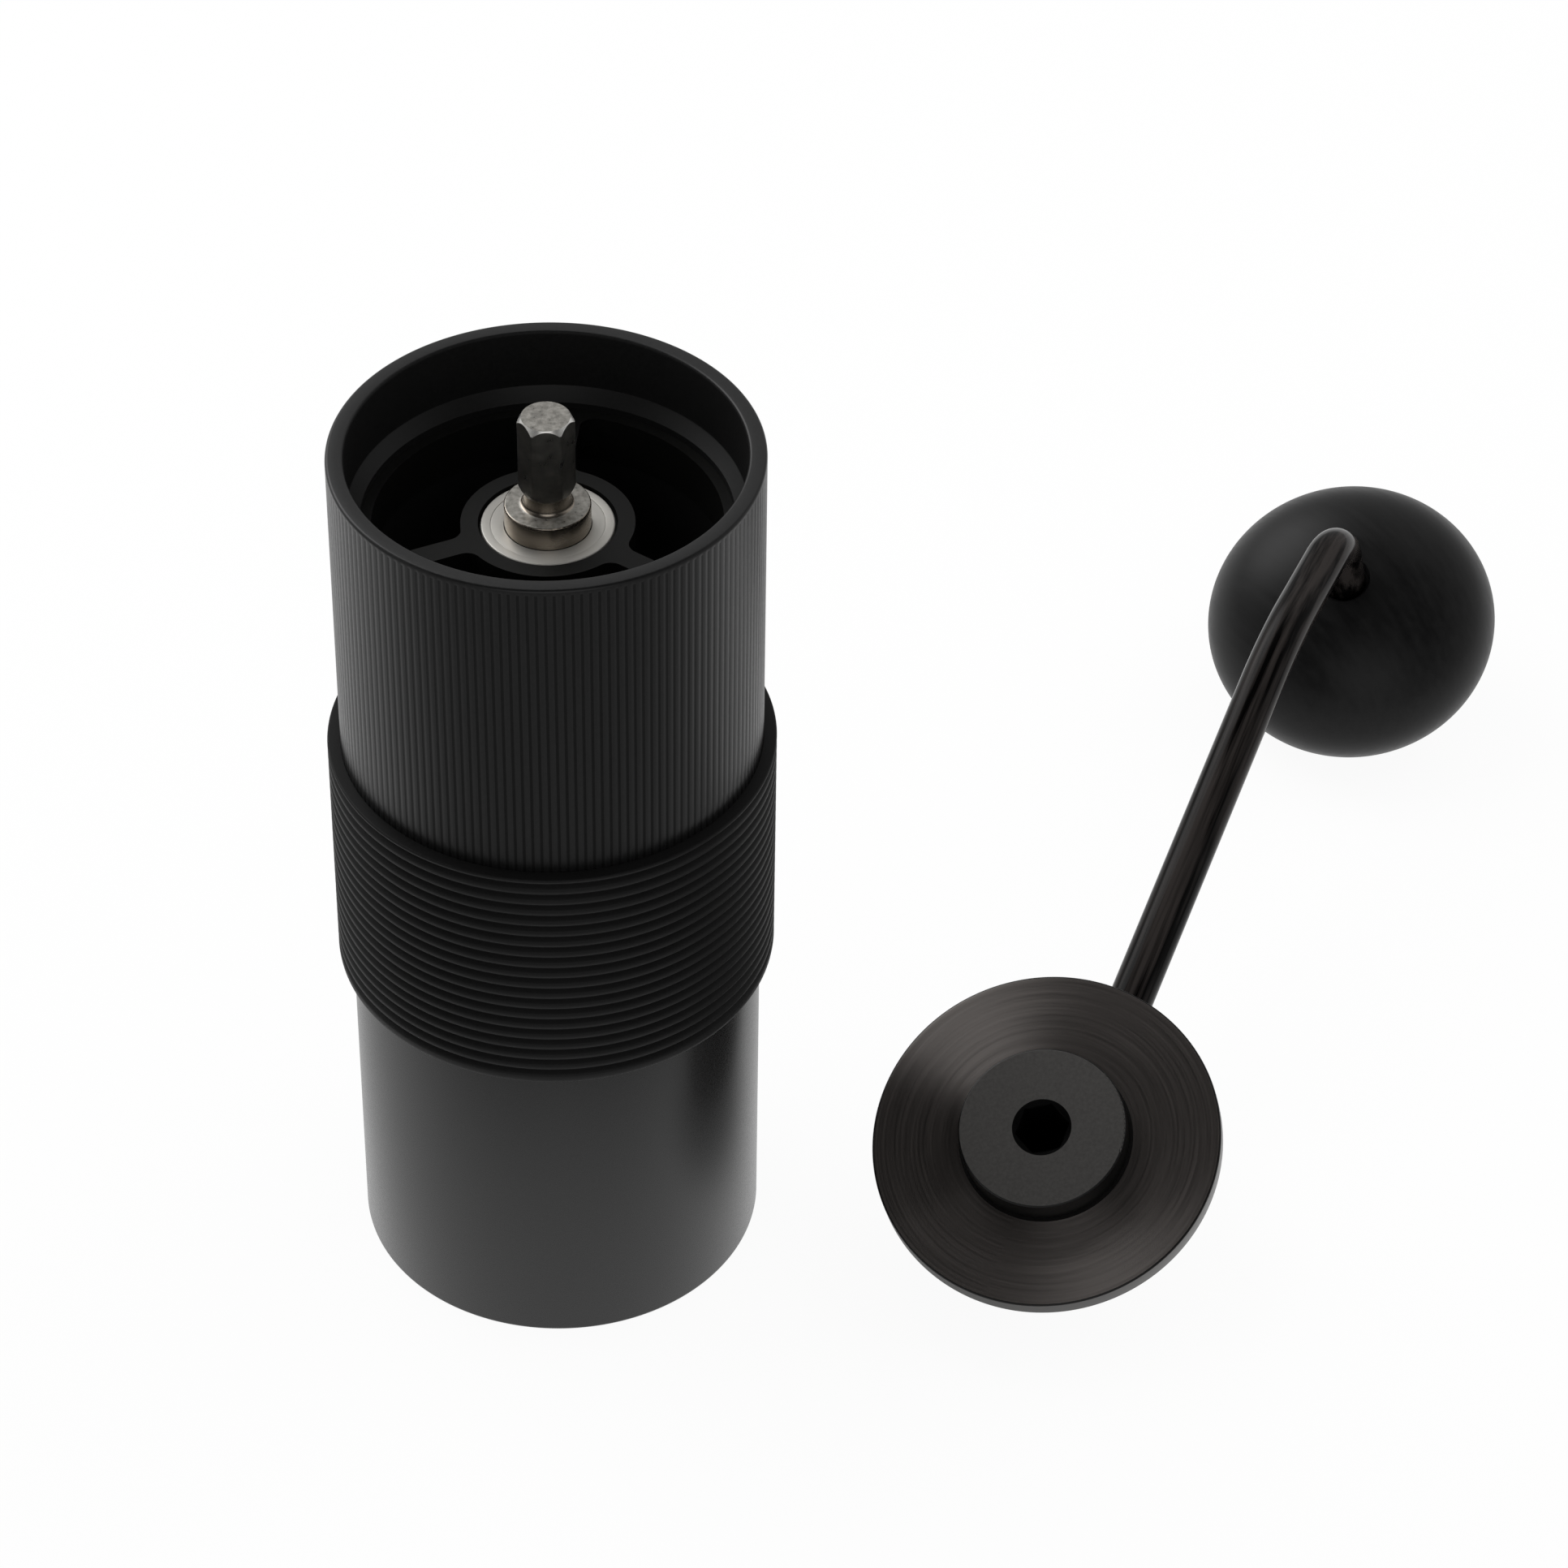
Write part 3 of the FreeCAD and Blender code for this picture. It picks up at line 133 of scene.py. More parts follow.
def calculate(tree: Tree, operation: str, *terms: Socket | float) -> Socket:
    """Add one calculation.

    Args:
        tree: The node tree to add to.
        operation: What is done with the terms.
        terms: Sockets to follow and fixed amounts, in order.

    Returns:
        A socket with the result.
    """
    node = tree.nodes.new("ShaderNodeMath")
    node.operation = operation
    for entry, term in zip(node.inputs, terms):
        if isinstance(term, Socket):
            tree.links.new(term, entry)
        else:
            entry.default_value = term
    return node.outputs[0]


@dataclass(frozen=True)
class Finish:
    """One surface finish, written as a procedural material.

    The two tones are mixed by a fine pattern, which also drives roughness and relief.
    """

    name: str
    dark: Triple
    light: Triple
    roughness: Pair
    metallic: float = 0.0
    specular: float = 0.5
    ior: float = 1.5
    anisotropic: float = 0.0
    grain: Grain = Grain.SURFACE
    scale: float = 2500.0
    relief: float = 0.05
    relief_depth: float = 0.00002
    stretch: Triple = (1.0, 1.0, 1.0)
    turn: Triple = (0.0, 0.0, 0.0)
    tint: Triple = (1.0, 1.0, 1.0)
    tone_span: Pair = (0.3, 0.7)

    def material(self) -> bpy.types.Material:
        """Make the material, or give back the one already made.

        Returns:
            The material that shows this finish.
        """
        title = f"finish_{self.name}"
        made = bpy.data.materials.get(title)
        if made is not None:
            return made
        made = bpy.data.materials.new(title)
        made.use_nodes = True
        tree = made.node_tree
        tree.nodes.clear()
        output = tree.nodes.new("ShaderNodeOutputMaterial")
        shader = tree.nodes.new("ShaderNodeBsdfPrincipled")
        tree.links.new(shader.outputs["BSDF"], output.inputs["Surface"])
        settings = {
            "Metallic": self.metallic,
            "Specular IOR Level": self.specular,
            "IOR": self.ior,
            "Specular Tint": (*self.tint, 1.0),
            "Anisotropic": self.anisotropic,
            "Anisotropic Rotation": ACROSS_MARKS,
        }
        for name, amount in settings.items():
            shader.inputs[name].default_value = amount
        pattern = self._pattern(tree)
        self._tones(tree, shader, pattern)
        self._relief(tree, shader, pattern)
        if self.anisotropic > 0.0:
            tangent = tree.nodes.new("ShaderNodeTangent")
            tangent.direction_type = "UV_MAP"
            tangent.uv_map = TURNING
            tree.links.new(tangent.outputs["Tangent"], shader.inputs["Tangent"])
        return made

    def _pattern(self, tree: Tree) -> Socket:
        """Add the fine pattern.

        Args:
            tree: The material's node tree.

        Returns:
            A socket whose value runs from nought to one.
        """
        place = tree.nodes.new("ShaderNodeTexCoord")
        mapping = tree.nodes.new("ShaderNodeMapping")
        mapping.vector_type = "TEXTURE"
        mapping.inputs["Scale"].default_value = [1.0 / amount for amount in self.stretch]
        mapping.inputs["Rotation"].default_value = self.turn
        tree.links.new(place.outputs[self.grain.value], mapping.inputs["Vector"])
        noise = tree.nodes.new("ShaderNodeTexNoise")
        noise.inputs["Scale"].default_value = self.scale
        noise.inputs["Detail"].default_value = PATTERN_DETAIL
        noise.inputs["Roughness"].default_value = PATTERN_ROUGHNESS
        tree.links.new(mapping.outputs["Vector"], noise.inputs["Vector"])
        return noise.outputs["Fac"]

    def _tones(self, tree: Tree, shader: bpy.types.Node, pattern: Socket) -> None:
        """Let the pattern vary colour and roughness.

        Args:
            tree: The material's node tree.
            shader: The surface shader.
            pattern: The fine pattern.
        """
        ramp = tree.nodes.new("ShaderNodeValToRGB")
        for stop, position, tone in zip(ramp.color_ramp.elements, self.tone_span, (self.dark, self.light)):
            stop.position = position
            stop.color = (*tone, 1.0)
        tree.links.new(pattern, ramp.inputs["Fac"])
        tree.links.new(ramp.outputs["Color"], shader.inputs["Base Color"])
        spread = remap(tree, pattern, self.tone_span, self.roughness)
        tree.links.new(spread, shader.inputs["Roughness"])

    def _relief(self, tree: Tree, shader: bpy.types.Node, pattern: Socket) -> None:
        """Let the pattern raise the surface a little.

        Args:
            tree: The material's node tree.
            shader: The surface shader.
            pattern: The fine pattern.
        """
        bump = tree.nodes.new("ShaderNodeBump")
        bump.inputs["Strength"].default_value = self.relief
        bump.inputs["Distance"].default_value = self.relief_depth
        tree.links.new(pattern, bump.inputs["Height"])
        tree.links.new(bump.outputs["Normal"], shader.inputs["Normal"])


BODY_BLACK = Finish(
    "body_black", (0.0042, 0.0042, 0.0043), (0.0064, 0.0064, 0.0065), (0.30, 0.37), specular=0.30
)
# Painted shade: a darker tone for the floors of the flutes, where shade falls in the creases.
FLUTE_SHADE_BLACK = Finish(
    "flute_shade_black", (0.0022, 0.0022, 0.0022), (0.0036, 0.0036, 0.0036), (0.34, 0.42), specular=0.15
)
INSIDE_BLACK = Finish(
    "inside_black", (0.0062, 0.0062, 0.0062), (0.0096, 0.0096, 0.0096), (0.50, 0.60), specular=0.12
)
# Painted light: a lighter tone on the upward flat of the rim, where light falls on it.
RIM_PAINTED_LIGHT = Finish(
    "rim_painted_light", (0.0064, 0.0064, 0.0065), (0.0092, 0.0092, 0.0093), (0.30, 0.37), specular=0.35
)
LEDGE_BLACK = Finish(
    "ledge_black", (0.0050, 0.0050, 0.0050), (0.0074, 0.0074, 0.0074), (0.38, 0.46), specular=0.34
)
CUP_BLACK = Finish(
    "cup_black", (0.0080, 0.0080, 0.0081), (0.0112, 0.0112, 0.0113), (0.25, 0.31), specular=0.37
)
GRIP_RUBBER = Finish(
    "grip_rubber", (0.0050, 0.0050, 0.0050), (0.0082, 0.0082, 0.0082), (0.46, 0.58),
    specular=0.15, scale=4000.0, relief=0.1,
)
BRACKET_BLACK = Finish(
    "bracket_black", (0.0036, 0.0036, 0.0034), (0.0056, 0.0056, 0.0053), (0.40, 0.50), specular=0.16
)
BEARING_STEEL = Finish(
    "bearing_steel", (0.44, 0.428, 0.399), (0.54, 0.525, 0.489), (0.36, 0.46),
    metallic=0.70, specular=0.3, anisotropic=0.35, grain=Grain.RINGS, scale=60.0, stretch=(0.02, 1.0, 1.0),
)
SHAFT_STEEL = Finish(
    "shaft_steel", (0.33, 0.32, 0.295), (0.46, 0.445, 0.41), (0.26, 0.36),
    metallic=0.965, specular=0.4, scale=900.0, relief=0.05,
)
SHAFT_EDGE = Finish(
    "shaft_edge", (0.66, 0.65, 0.62), (0.78, 0.77, 0.74), (0.26, 0.34), metallic=1.0, relief=0.02
)
SHAFT_TURNED = Finish(
    "shaft_turned", (0.33, 0.286, 0.236), (0.46, 0.405, 0.340), (0.22, 0.30),
    metallic=1.0, anisotropic=0.6, grain=Grain.RINGS, scale=60.0, stretch=(0.05, 1.0, 1.0), relief=0.04,
)
SHAFT_FACED = Finish(
    "shaft_faced", (0.165, 0.158, 0.143), (0.41, 0.395, 0.361), (0.26, 0.42),
    metallic=0.7, specular=0.4, scale=1300.0, relief=0.25,
)
INNER_STEEL = Finish(
    "inner_steel", (0.30, 0.30, 0.30), (0.44, 0.44, 0.44), (0.3, 0.42), metallic=1.0, scale=1800.0
)
BURR_STEEL = Finish(
    "burr_steel", (0.30, 0.30, 0.31), (0.38, 0.38, 0.39), (0.3, 0.4), metallic=1.0, scale=3600.0,
    relief=0.08,
)
LID_TURNED = Finish(
    "lid_turned", (0.0105, 0.0094, 0.0089), (0.0330, 0.0293, 0.0275), (0.31, 0.41),
    specular=0.8, ior=1.9, anisotropic=0.94, grain=Grain.RINGS, scale=40.0,
    stretch=(0.15, 8.0, 1.0), relief=0.22, tint=(1.0, 0.92, 0.87),
)
# Painted shade: a near-black dark line on the lid's rounded edges, and a painted shadow in the ring beside
# the boss.
LID_EDGE_SHADE = Finish(
    "lid_edge", (0.0040, 0.0038, 0.0037), (0.0064, 0.0060, 0.0058), (0.34, 0.42), specular=0.2
)
# Painted light: a pale grey tone on the upright side of the black lid, where light falls on it.
LID_SIDE_PAINTED_LIGHT = Finish(
    "lid_side_painted_light", (0.070, 0.0680, 0.0655), (0.098, 0.0955, 0.0920), (0.30, 0.38), specular=0.4
)
HUB_BLACK = Finish(
    "hub_black", (0.0405, 0.0388, 0.0372), (0.0555, 0.0533, 0.0506), (0.46, 0.54), specular=0.3
)
# Painted shade: a near-black tone on the boss's side wall, standing in for its shade and contact shadow.
HUB_SIDE_SHADE = Finish(
    "hub_side_shade", (0.0026, 0.0026, 0.0026), (0.0046, 0.0045, 0.0044), (0.30, 0.38), specular=0.22
)
# Painted shade: a near-black tone inside the hexagon socket, where shade falls in the hollow.
SOCKET_SHADE = Finish(
    "socket_shade", (0.0012, 0.0012, 0.0012), (0.0020, 0.0020, 0.0020), (0.44, 0.54), specular=0.04
)
# The rod's own black paint, with light streaks along the rod painted in as reflection streaks.
ARM_BLACK_REFLECTION_STREAKS = Finish(
    "arm_black", (0.0012, 0.0011, 0.0011), (0.0280, 0.0243, 0.0229), (0.07, 0.13), specular=0.07,
    scale=620.0, stretch=(1.0, 0.03, 0.2), turn=(0.387, 0.0, -0.464), relief=0.02,
    tone_span=(0.43, 0.6),
)
KNOB_BLACK = Finish(
    "knob_black", (0.0036, 0.0036, 0.0037), (0.0082, 0.0082, 0.0083), (0.36, 0.44), specular=0.17,
    scale=950.0, stretch=(1.0, 0.05, 0.5), turn=(0.0, 0.0, 0.57), relief=0.12,
    relief_depth=0.00005,
)
BUSH_BRONZE = Finish(
    "bush_bronze", (0.40, 0.26, 0.12), (0.56, 0.38, 0.19), (0.3, 0.42), metallic=1.0, scale=1500.0
)


Extra = tuple[Finish, Callable[[Face], bool]]


def outline_wire(bm: Mesh, corners: Sequence[Corner], shape: Shape) -> None:
    """Lay an outline of (radius, height, rounding) corners in the XZ plane.

    Args:
        bm: The mesh to add to.
        corners: Corners in millimetres; a third value rounds that corner by a setback.
        shape: Whether the last corner joins the first.
    """
    verts = [bm.verts.new((corner[0] * MM, 0.0, corner[1] * MM)) for corner in corners]
    pairs = list(zip(verts, verts[1:]))
    if shape is Shape.CLOSED:
        pairs.append((verts[-1], verts[0]))
    for first, second in pairs:
        bm.edges.new((first, second))
    for vert, corner in zip(verts, corners):
        if len(corner) == 3:
            bmesh.ops.bevel(
                bm, geom=[vert], offset=corner[2] * MM, offset_type="OFFSET",
                segments=ROUND_STEPS, profile=0.5, affect="VERTICES", material=-1,
            )


def turn_about_axis(bm: Mesh, steps: int) -> None:
    """Turn everything in a mesh once about Z and close the seam.

    Args:
        bm: The mesh that holds an outline in the XZ plane.
        steps: How many faces go round.
    """
    bmesh.ops.spin(
        bm, geom=bm.verts[:] + bm.edges[:], cent=(0, 0, 0), axis=(0, 0, 1), dvec=(0, 0, 0),
        angle=math.tau, steps=steps, use_merge=True, use_duplicate=False,
    )
    bmesh.ops.remove_doubles(bm, verts=bm.verts[:], dist=WELD)
    bmesh.ops.dissolve_degenerate(bm, dist=SLIVER, edges=bm.edges[:])
    bmesh.ops.recalc_face_normals(bm, faces=bm.faces[:])


def map_turning(bm: Mesh) -> None:
    """Give a turned mesh a map whose U goes round the axis and V goes out and up.

    Args:
        bm: A mesh turned about Z.
    """
    layer = bm.loops.layers.uv.new(TURNING)
    for face in bm.faces:
        angles = [math.atan2(loop.vert.co.y, loop.vert.co.x) for loop in face.loops]
        middle = face.calc_center_median()
        home = math.atan2(middle.y, middle.x)
        for loop, angle in zip(face.loops, angles):
            around = home + (angle - home + math.pi) % math.tau - math.pi
            radius = math.hypot(loop.vert.co.x, loop.vert.co.y)
            loop[layer].uv = (around / math.tau, (radius + loop.vert.co.z) * TURNING_REPEAT)


def shade(bm: Mesh, sharp_degrees: float) -> None:
    """Smooth the faces and keep crisp edges where they turn by more than an angle.

    Args:
        bm: The mesh.
        sharp_degrees: The angle past which an edge stays crisp.
    """
    for face in bm.faces:
        face.smooth = True
    for edge in bm.edges:
        if len(edge.link_faces) == 2:
            edge.smooth = edge.calc_face_angle(0.0) < math.radians(sharp_degrees)


def make_piece(
    name: str,
    bm: Mesh,
    finish: Finish,
    body: str,
    replaced: Iterable[str] = (),
    place: Matrix | None = None,
    extras: Sequence[Extra] = (),
    sharp_degrees: float = CRISP,
) -> None:
    """Turn a finished mesh into a dressed piece that rides on a body.

    Args:
        name: The piece's name.
        bm: The mesh, which is used up.
        finish: Its surface finish.
        body: The body it rides on.
        replaced: Nodes that it stands for.
        place: Where it goes, applied to the mesh.
        extras: Other finishes, each with the test for the faces that get it.
        sharp_degrees: The angle past which an edge stays crisp.
    """
    shade(bm, sharp_degrees)
    for index, (_, test) in enumerate(extras, start=1):
        for face in bm.faces:
            if face.material_index == 0 and test(face):
                face.material_index = index
    if place is not None:
        bmesh.ops.transform(bm, matrix=place, verts=bm.verts[:])
    mesh = bpy.data.meshes.new(name)
    bm.to_mesh(mesh)
    bm.free()
    for kind in (finish, *(extra[0] for extra in extras)):
        mesh.materials.append(kind.material())
    piece = bpy.data.objects.new(name, mesh)
    bpy.context.scene.collection.objects.link(piece)
    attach(piece, body)
    if replaced:
        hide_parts(*replaced)
    LOG.info("%s: %d faces", name, len(mesh.polygons))


def turned_piece(
    name: str,
    corners: Sequence[Corner],
    finish: Finish,
    body: str,
    replaced: Iterable[str] = (),
    place: Matrix | None = None,
    steps: int = TURN_STEPS,
    shape: Shape = Shape.CLOSED,
    change: Change | None = None,
    extras: Sequence[Extra] = (),
) -> None:
    """Make a turned piece from its outline.

    Args:
        name: The piece's name.
        corners: The outline's corners in millimetres.
        finish: Its surface finish.
        body: The body it rides on.
        replaced: Nodes that it stands for.
        place: Where it goes.
        steps: How many faces go round.
        shape: Whether the outline closes on itself.
        change: A last change to the turned mesh.
        extras: Other finishes, each with the test for the faces that get it.
    """
    bm = bmesh.new()
    outline_wire(bm, corners, shape)
    turn_about_axis(bm, steps)
    if change is not None:
        change(bm)
    map_turning(bm)
    make_piece(name, bm, finish, body, replaced, place, extras)


def wind_thread(
    name: str, radii: Pair, span: Pair, pitch: float, finish: Finish, body: str
) -> None:
    """Wind a thread's ridge about Z.

    Args:
        name: The piece's name.
        radii: The radius of its root and of its crest, in millimetres.
        span: The heights it starts and ends at.
        pitch: How far it climbs in a turn.
        finish: Its surface finish.
        body: The body it rides on.
    """
    root, crest = radii
    wide, narrow = pitch * THREAD_ROOT, pitch * THREAD_CREST
    middle = span[0] + wide
    bm = bmesh.new()
    corners = ((root, -wide), (crest, -narrow), (crest, narrow), (root, wide))
    bm.faces.new([bm.verts.new((radius * MM, 0.0, (middle + rise) * MM)) for radius, rise in corners])
    turns = (span[1] - span[0] - 2.0 * wide) / pitch
    steps = int(turns * THREAD_STEPS)
    bmesh.ops.spin(
        bm, geom=bm.verts[:] + bm.edges[:] + bm.faces[:], cent=(0, 0, 0), axis=(0, 0, 1),
        dvec=(0, 0, turns * pitch * MM / steps), angle=math.tau * turns, steps=steps,
        use_merge=False, use_duplicate=False,
    )
    bmesh.ops.recalc_face_normals(bm, faces=bm.faces[:])
    make_piece(name, bm, finish, body)


def smooth_copy(
    node: str,
    finish: Finish,
    body: str,
    change: Change | None = None,
    extras: Sequence[Extra] = (),
    sharp_degrees: float = CRISP,
) -> None:
    """Stand a merged, smoothly shaded copy in for a node whose shape is right.

    Args:
        node: The node to copy.
        finish: Its surface finish.
        body: The body it rides on.
        change: A last change to the copy.
        extras: Other finishes, each with the test for the faces that get it.
        sharp_degrees: The angle past which an edge stays crisp.
    """
    bm = bmesh.new()
    bm.from_mesh(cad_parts[node].data)
    bmesh.ops.remove_doubles(bm, verts=bm.verts[:], dist=NEAR)
    for face in bm.faces:
        face.material_index = 0
    if change is not None:
        change(bm)
    make_piece(
        f"{node}_dressed", bm, finish, body, [node], extras=extras, sharp_degrees=sharp_degrees
    )


def dress_node(node: str, finish: Finish) -> None:
    """Give a node that stays as it is a better material.

    Args:
        node: The node's name.
        finish: Its surface finish.
    """
    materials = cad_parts[node].data.materials
    materials.clear()
    materials.append(finish.material())


@dataclass
class CatchCup:
    """The cup that the grinder stands on, with sizes in millimetres."""

    radius: float = 25.8
    height: float = 45.9
    bore: float = 23.6
    floor: float = 2.5
    foot_edge: float = 0.5
    lip_edge: float = 0.4
    mouth_edge: float = 0.2
    floor_edge: float = 0.9
    thread_bore: float = 24.35
    thread_depth: float = 0.5
    thread_floor: float = 35.6
    thread_pitch: float = 1.5
    thread_margin: float = 0.8

    def build(self) -> None:
        """Turn the cup and wind the thread inside its mouth."""
        root = self.thread_bore + self.thread_depth
        turned_piece(
            "cup_shell",
            [
                (0, 0), (self.radius, 0, self.foot_edge), (self.radius, self.height, self.lip_edge),
                (root, self.height, self.mouth_edge), (root, self.thread_floor),
                (self.bore, self.thread_floor), (self.bore, self.floor, self.floor_edge), (0, self.floor),
            ],
            CUP_BLACK, "cup", ["catch_cup"], steps=FINE_STEPS, shape=Shape.OPEN,
        )
        wind_thread(
            "cup_thread", (root + THREAD_SINK, self.thread_bore),
            (self.thread_floor + self.thread_margin, self.height - self.thread_margin),
            self.thread_pitch, CUP_BLACK, "cup",
        )


@dataclass
class Housing:
    """The fluted tube, its rubber sleeve and the bracket in its mouth, with sizes in millimetres."""

    radius: float = 26.0
    top: float = 123.0
    shoulder: float = 46.0
    rim_edge: float = 0.4
    mouth: float = 23.8
    mouth_floor: float = 115.0
    ledge_drop: float = 1.5
    ledge_edge: float = 0.1
    inward_play: float = 0.01
    bracket_bore: float = 22.3
    bracket_foot: float = 106.6
    hopper: float = 21.2
    burr_bore: float = 22.2
    bore_step: float = 64.0
    spigot: float = 24.2
    spigot_foot: float = 36.0
    spigot_edge: float = 0.4
    thread_depth: float = 0.5
    thread_pitch: float = 1.5
    thread_start: float = 0.9
    thread_end: float = 0.8
    flutes: int = 156
    flute_steps: int = 6
    flute_depth: float = 0.055
    flute_floor: Pair = (0.7, 1.2)
    flute_tuck: float = 1.0
    flute_run_in: float = 0.3
    flute_margin: float = 0.35
    sleeve_radius: float = 27.6
    sleeve_top: float = 80.0
    ribs: int = 19
    rib_pitch: float = 1.71
    rib_foot: float = 48.2
    rib_depth: float = 0.55
    rib_edge: float = 0.22
    groove_share: float = 0.31
    groove_floor: float = 0.1
    sleeve_edge: float = 1.0
    sleeve_lip: float = 0.25

    @property
    def flute_foot(self) -> float:
        """Height where the flutes start, under the sleeve."""
        return self.sleeve_top - self.flute_tuck

    @property
    def flute_top(self) -> float:
        """Height where the flutes end, below the rim."""
        return self.top - self.rim_edge - self.flute_margin

    def build(self) -> None:
        """Build the tube, the sleeve and the bracket."""
        self.build_tube()
        self.build_sleeve()
        smooth_copy("upper_bracket", BRACKET_BLACK, "housing")
        dress_node("lower_bracket", BRACKET_BLACK)
        dress_node("burr_retaining_ring", BRACKET_BLACK)
        dress_node("outer_burr", BURR_STEEL)

    def build_tube(self) -> None:
        """Turn the tube and press its flutes in."""
        root = self.spigot - self.thread_depth
        turned_piece(
            "housing_shell",
            [
                (self.burr_bore, self.spigot_foot), (root, self.spigot_foot, self.spigot_edge),
                (root, self.shoulder), (self.radius, self.shoulder), (self.radius, self.flute_foot),
                (self.radius, self.flute_foot + self.flute_run_in), (self.radius, self.flute_top),
                (self.radius, self.top, self.rim_edge), (self.mouth, self.top, self.rim_edge),
                (self.mouth, self.mouth_floor, self.ledge_edge),
                (self.bracket_bore, self.mouth_floor - self.ledge_drop),
                (self.bracket_bore, self.bracket_foot), (self.hopper, self.bracket_foot),
                (self.hopper, self.bore_step), (self.burr_bore, self.bore_step),
            ],
            BODY_BLACK, "housing", ["housing_tube"],
            steps=self.flutes * self.flute_steps, change=self.press_flutes,
            extras=[
                (LEDGE_BLACK, self.is_ledge), (INSIDE_BLACK, self.is_inside),
                (FLUTE_SHADE_BLACK, self.is_flute), (RIM_PAINTED_LIGHT, self.is_rim),
            ],
        )
        wind_thread(
            "spigot_thread", (root - THREAD_SINK, self.spigot),
            (self.spigot_foot + self.thread_start, self.shoulder - self.thread_end),
            self.thread_pitch, BODY_BLACK, "housing",
        )

    def is_flute(self, face: Face) -> bool:
        """Find the floors of the flutes, which get a darker tone as painted shade.

        Args:
            face: A face of the tube.

        Returns:
            Whether the face lies deep in a flute.
        """
        middle = face.calc_center_median() / MM
        if not self.flute_foot < middle.z < self.flute_top:
            return False
        depth = self.radius - math.hypot(middle.x, middle.y)
        return self.flute_floor[0] < depth / self.flute_depth < self.flute_floor[1]

    def is_rim(self, face: Face) -> bool:
        """Whether a face is on the flat of the rim, which gets a lighter tone as painted light."""
        return face.normal.z > FLAT and face.calc_center_median().z > (self.top - self.rim_edge) * MM

    def is_ledge(self, face: Face) -> bool:
        """Whether a face is on the sloping ledge that leads down to the bracket."""
        drop = self.mouth_floor - face.calc_center_median().z / MM
        return -self.ledge_edge < drop < self.ledge_drop and face.normal.z > UPRIGHT

    def is_inside(self, face: Face) -> bool:
        """Tell the tube's inside from its outside and rim.

        Args:
            face: A face of the tube.

        Returns:
            Whether the face is inside.
        """
        middle = face.calc_center_median() / MM
        inward = face.normal.x * middle.x + face.normal.y * middle.y <= self.inward_play
        return inward and math.hypot(middle.x, middle.y) < self.mouth + 0.5 * self.rim_edge

    def press_flutes(self, bm: Mesh) -> None:
        """Press upright flutes into the outside of the wall.

        Args:
            bm: The turned tube.
        """
        foot = self.flute_foot + 0.5 * self.flute_run_in
        top = self.flute_top + 0.5 * self.flute_margin
        for vert in bm.verts:
            radius = math.hypot(vert.co.x, vert.co.y)
            if abs(radius - self.radius * MM) > NEAR or not foot < vert.co.z / MM < top:
                continue
            wave = 0.5 - 0.5 * math.cos(self.flutes * math.atan2(vert.co.y, vert.co.x))
            inset = 1.0 - self.flute_depth * MM * wave / radius
            vert.co.x *= inset
            vert.co.y *= inset

    def build_sleeve(self) -> None:
        """Turn the ribbed rubber sleeve."""
        bore = self.radius + FIT
        corners: list[Corner] = [
            (bore, self.shoulder), (self.sleeve_radius, self.shoulder, self.sleeve_edge),
        ]
        valley = self.sleeve_radius - self.rib_depth
        half = self.rib_pitch * self.groove_share
        for k in range(self.ribs):
            middle = self.rib_foot + self.rib_pitch * k
            corners += [
                (self.sleeve_radius, middle - half, self.rib_edge), (valley, middle - self.groove_floor),
                (valley, middle + self.groove_floor), (self.sleeve_radius, middle + half, self.rib_edge),
            ]
        corners += [(self.sleeve_radius, self.sleeve_top, self.sleeve_lip), (bore, self.sleeve_top)]
        turned_piece(
            "sleeve_ribbed", corners, GRIP_RUBBER, "housing", ["grip_sleeve"],
            steps=FINE_STEPS,
        )


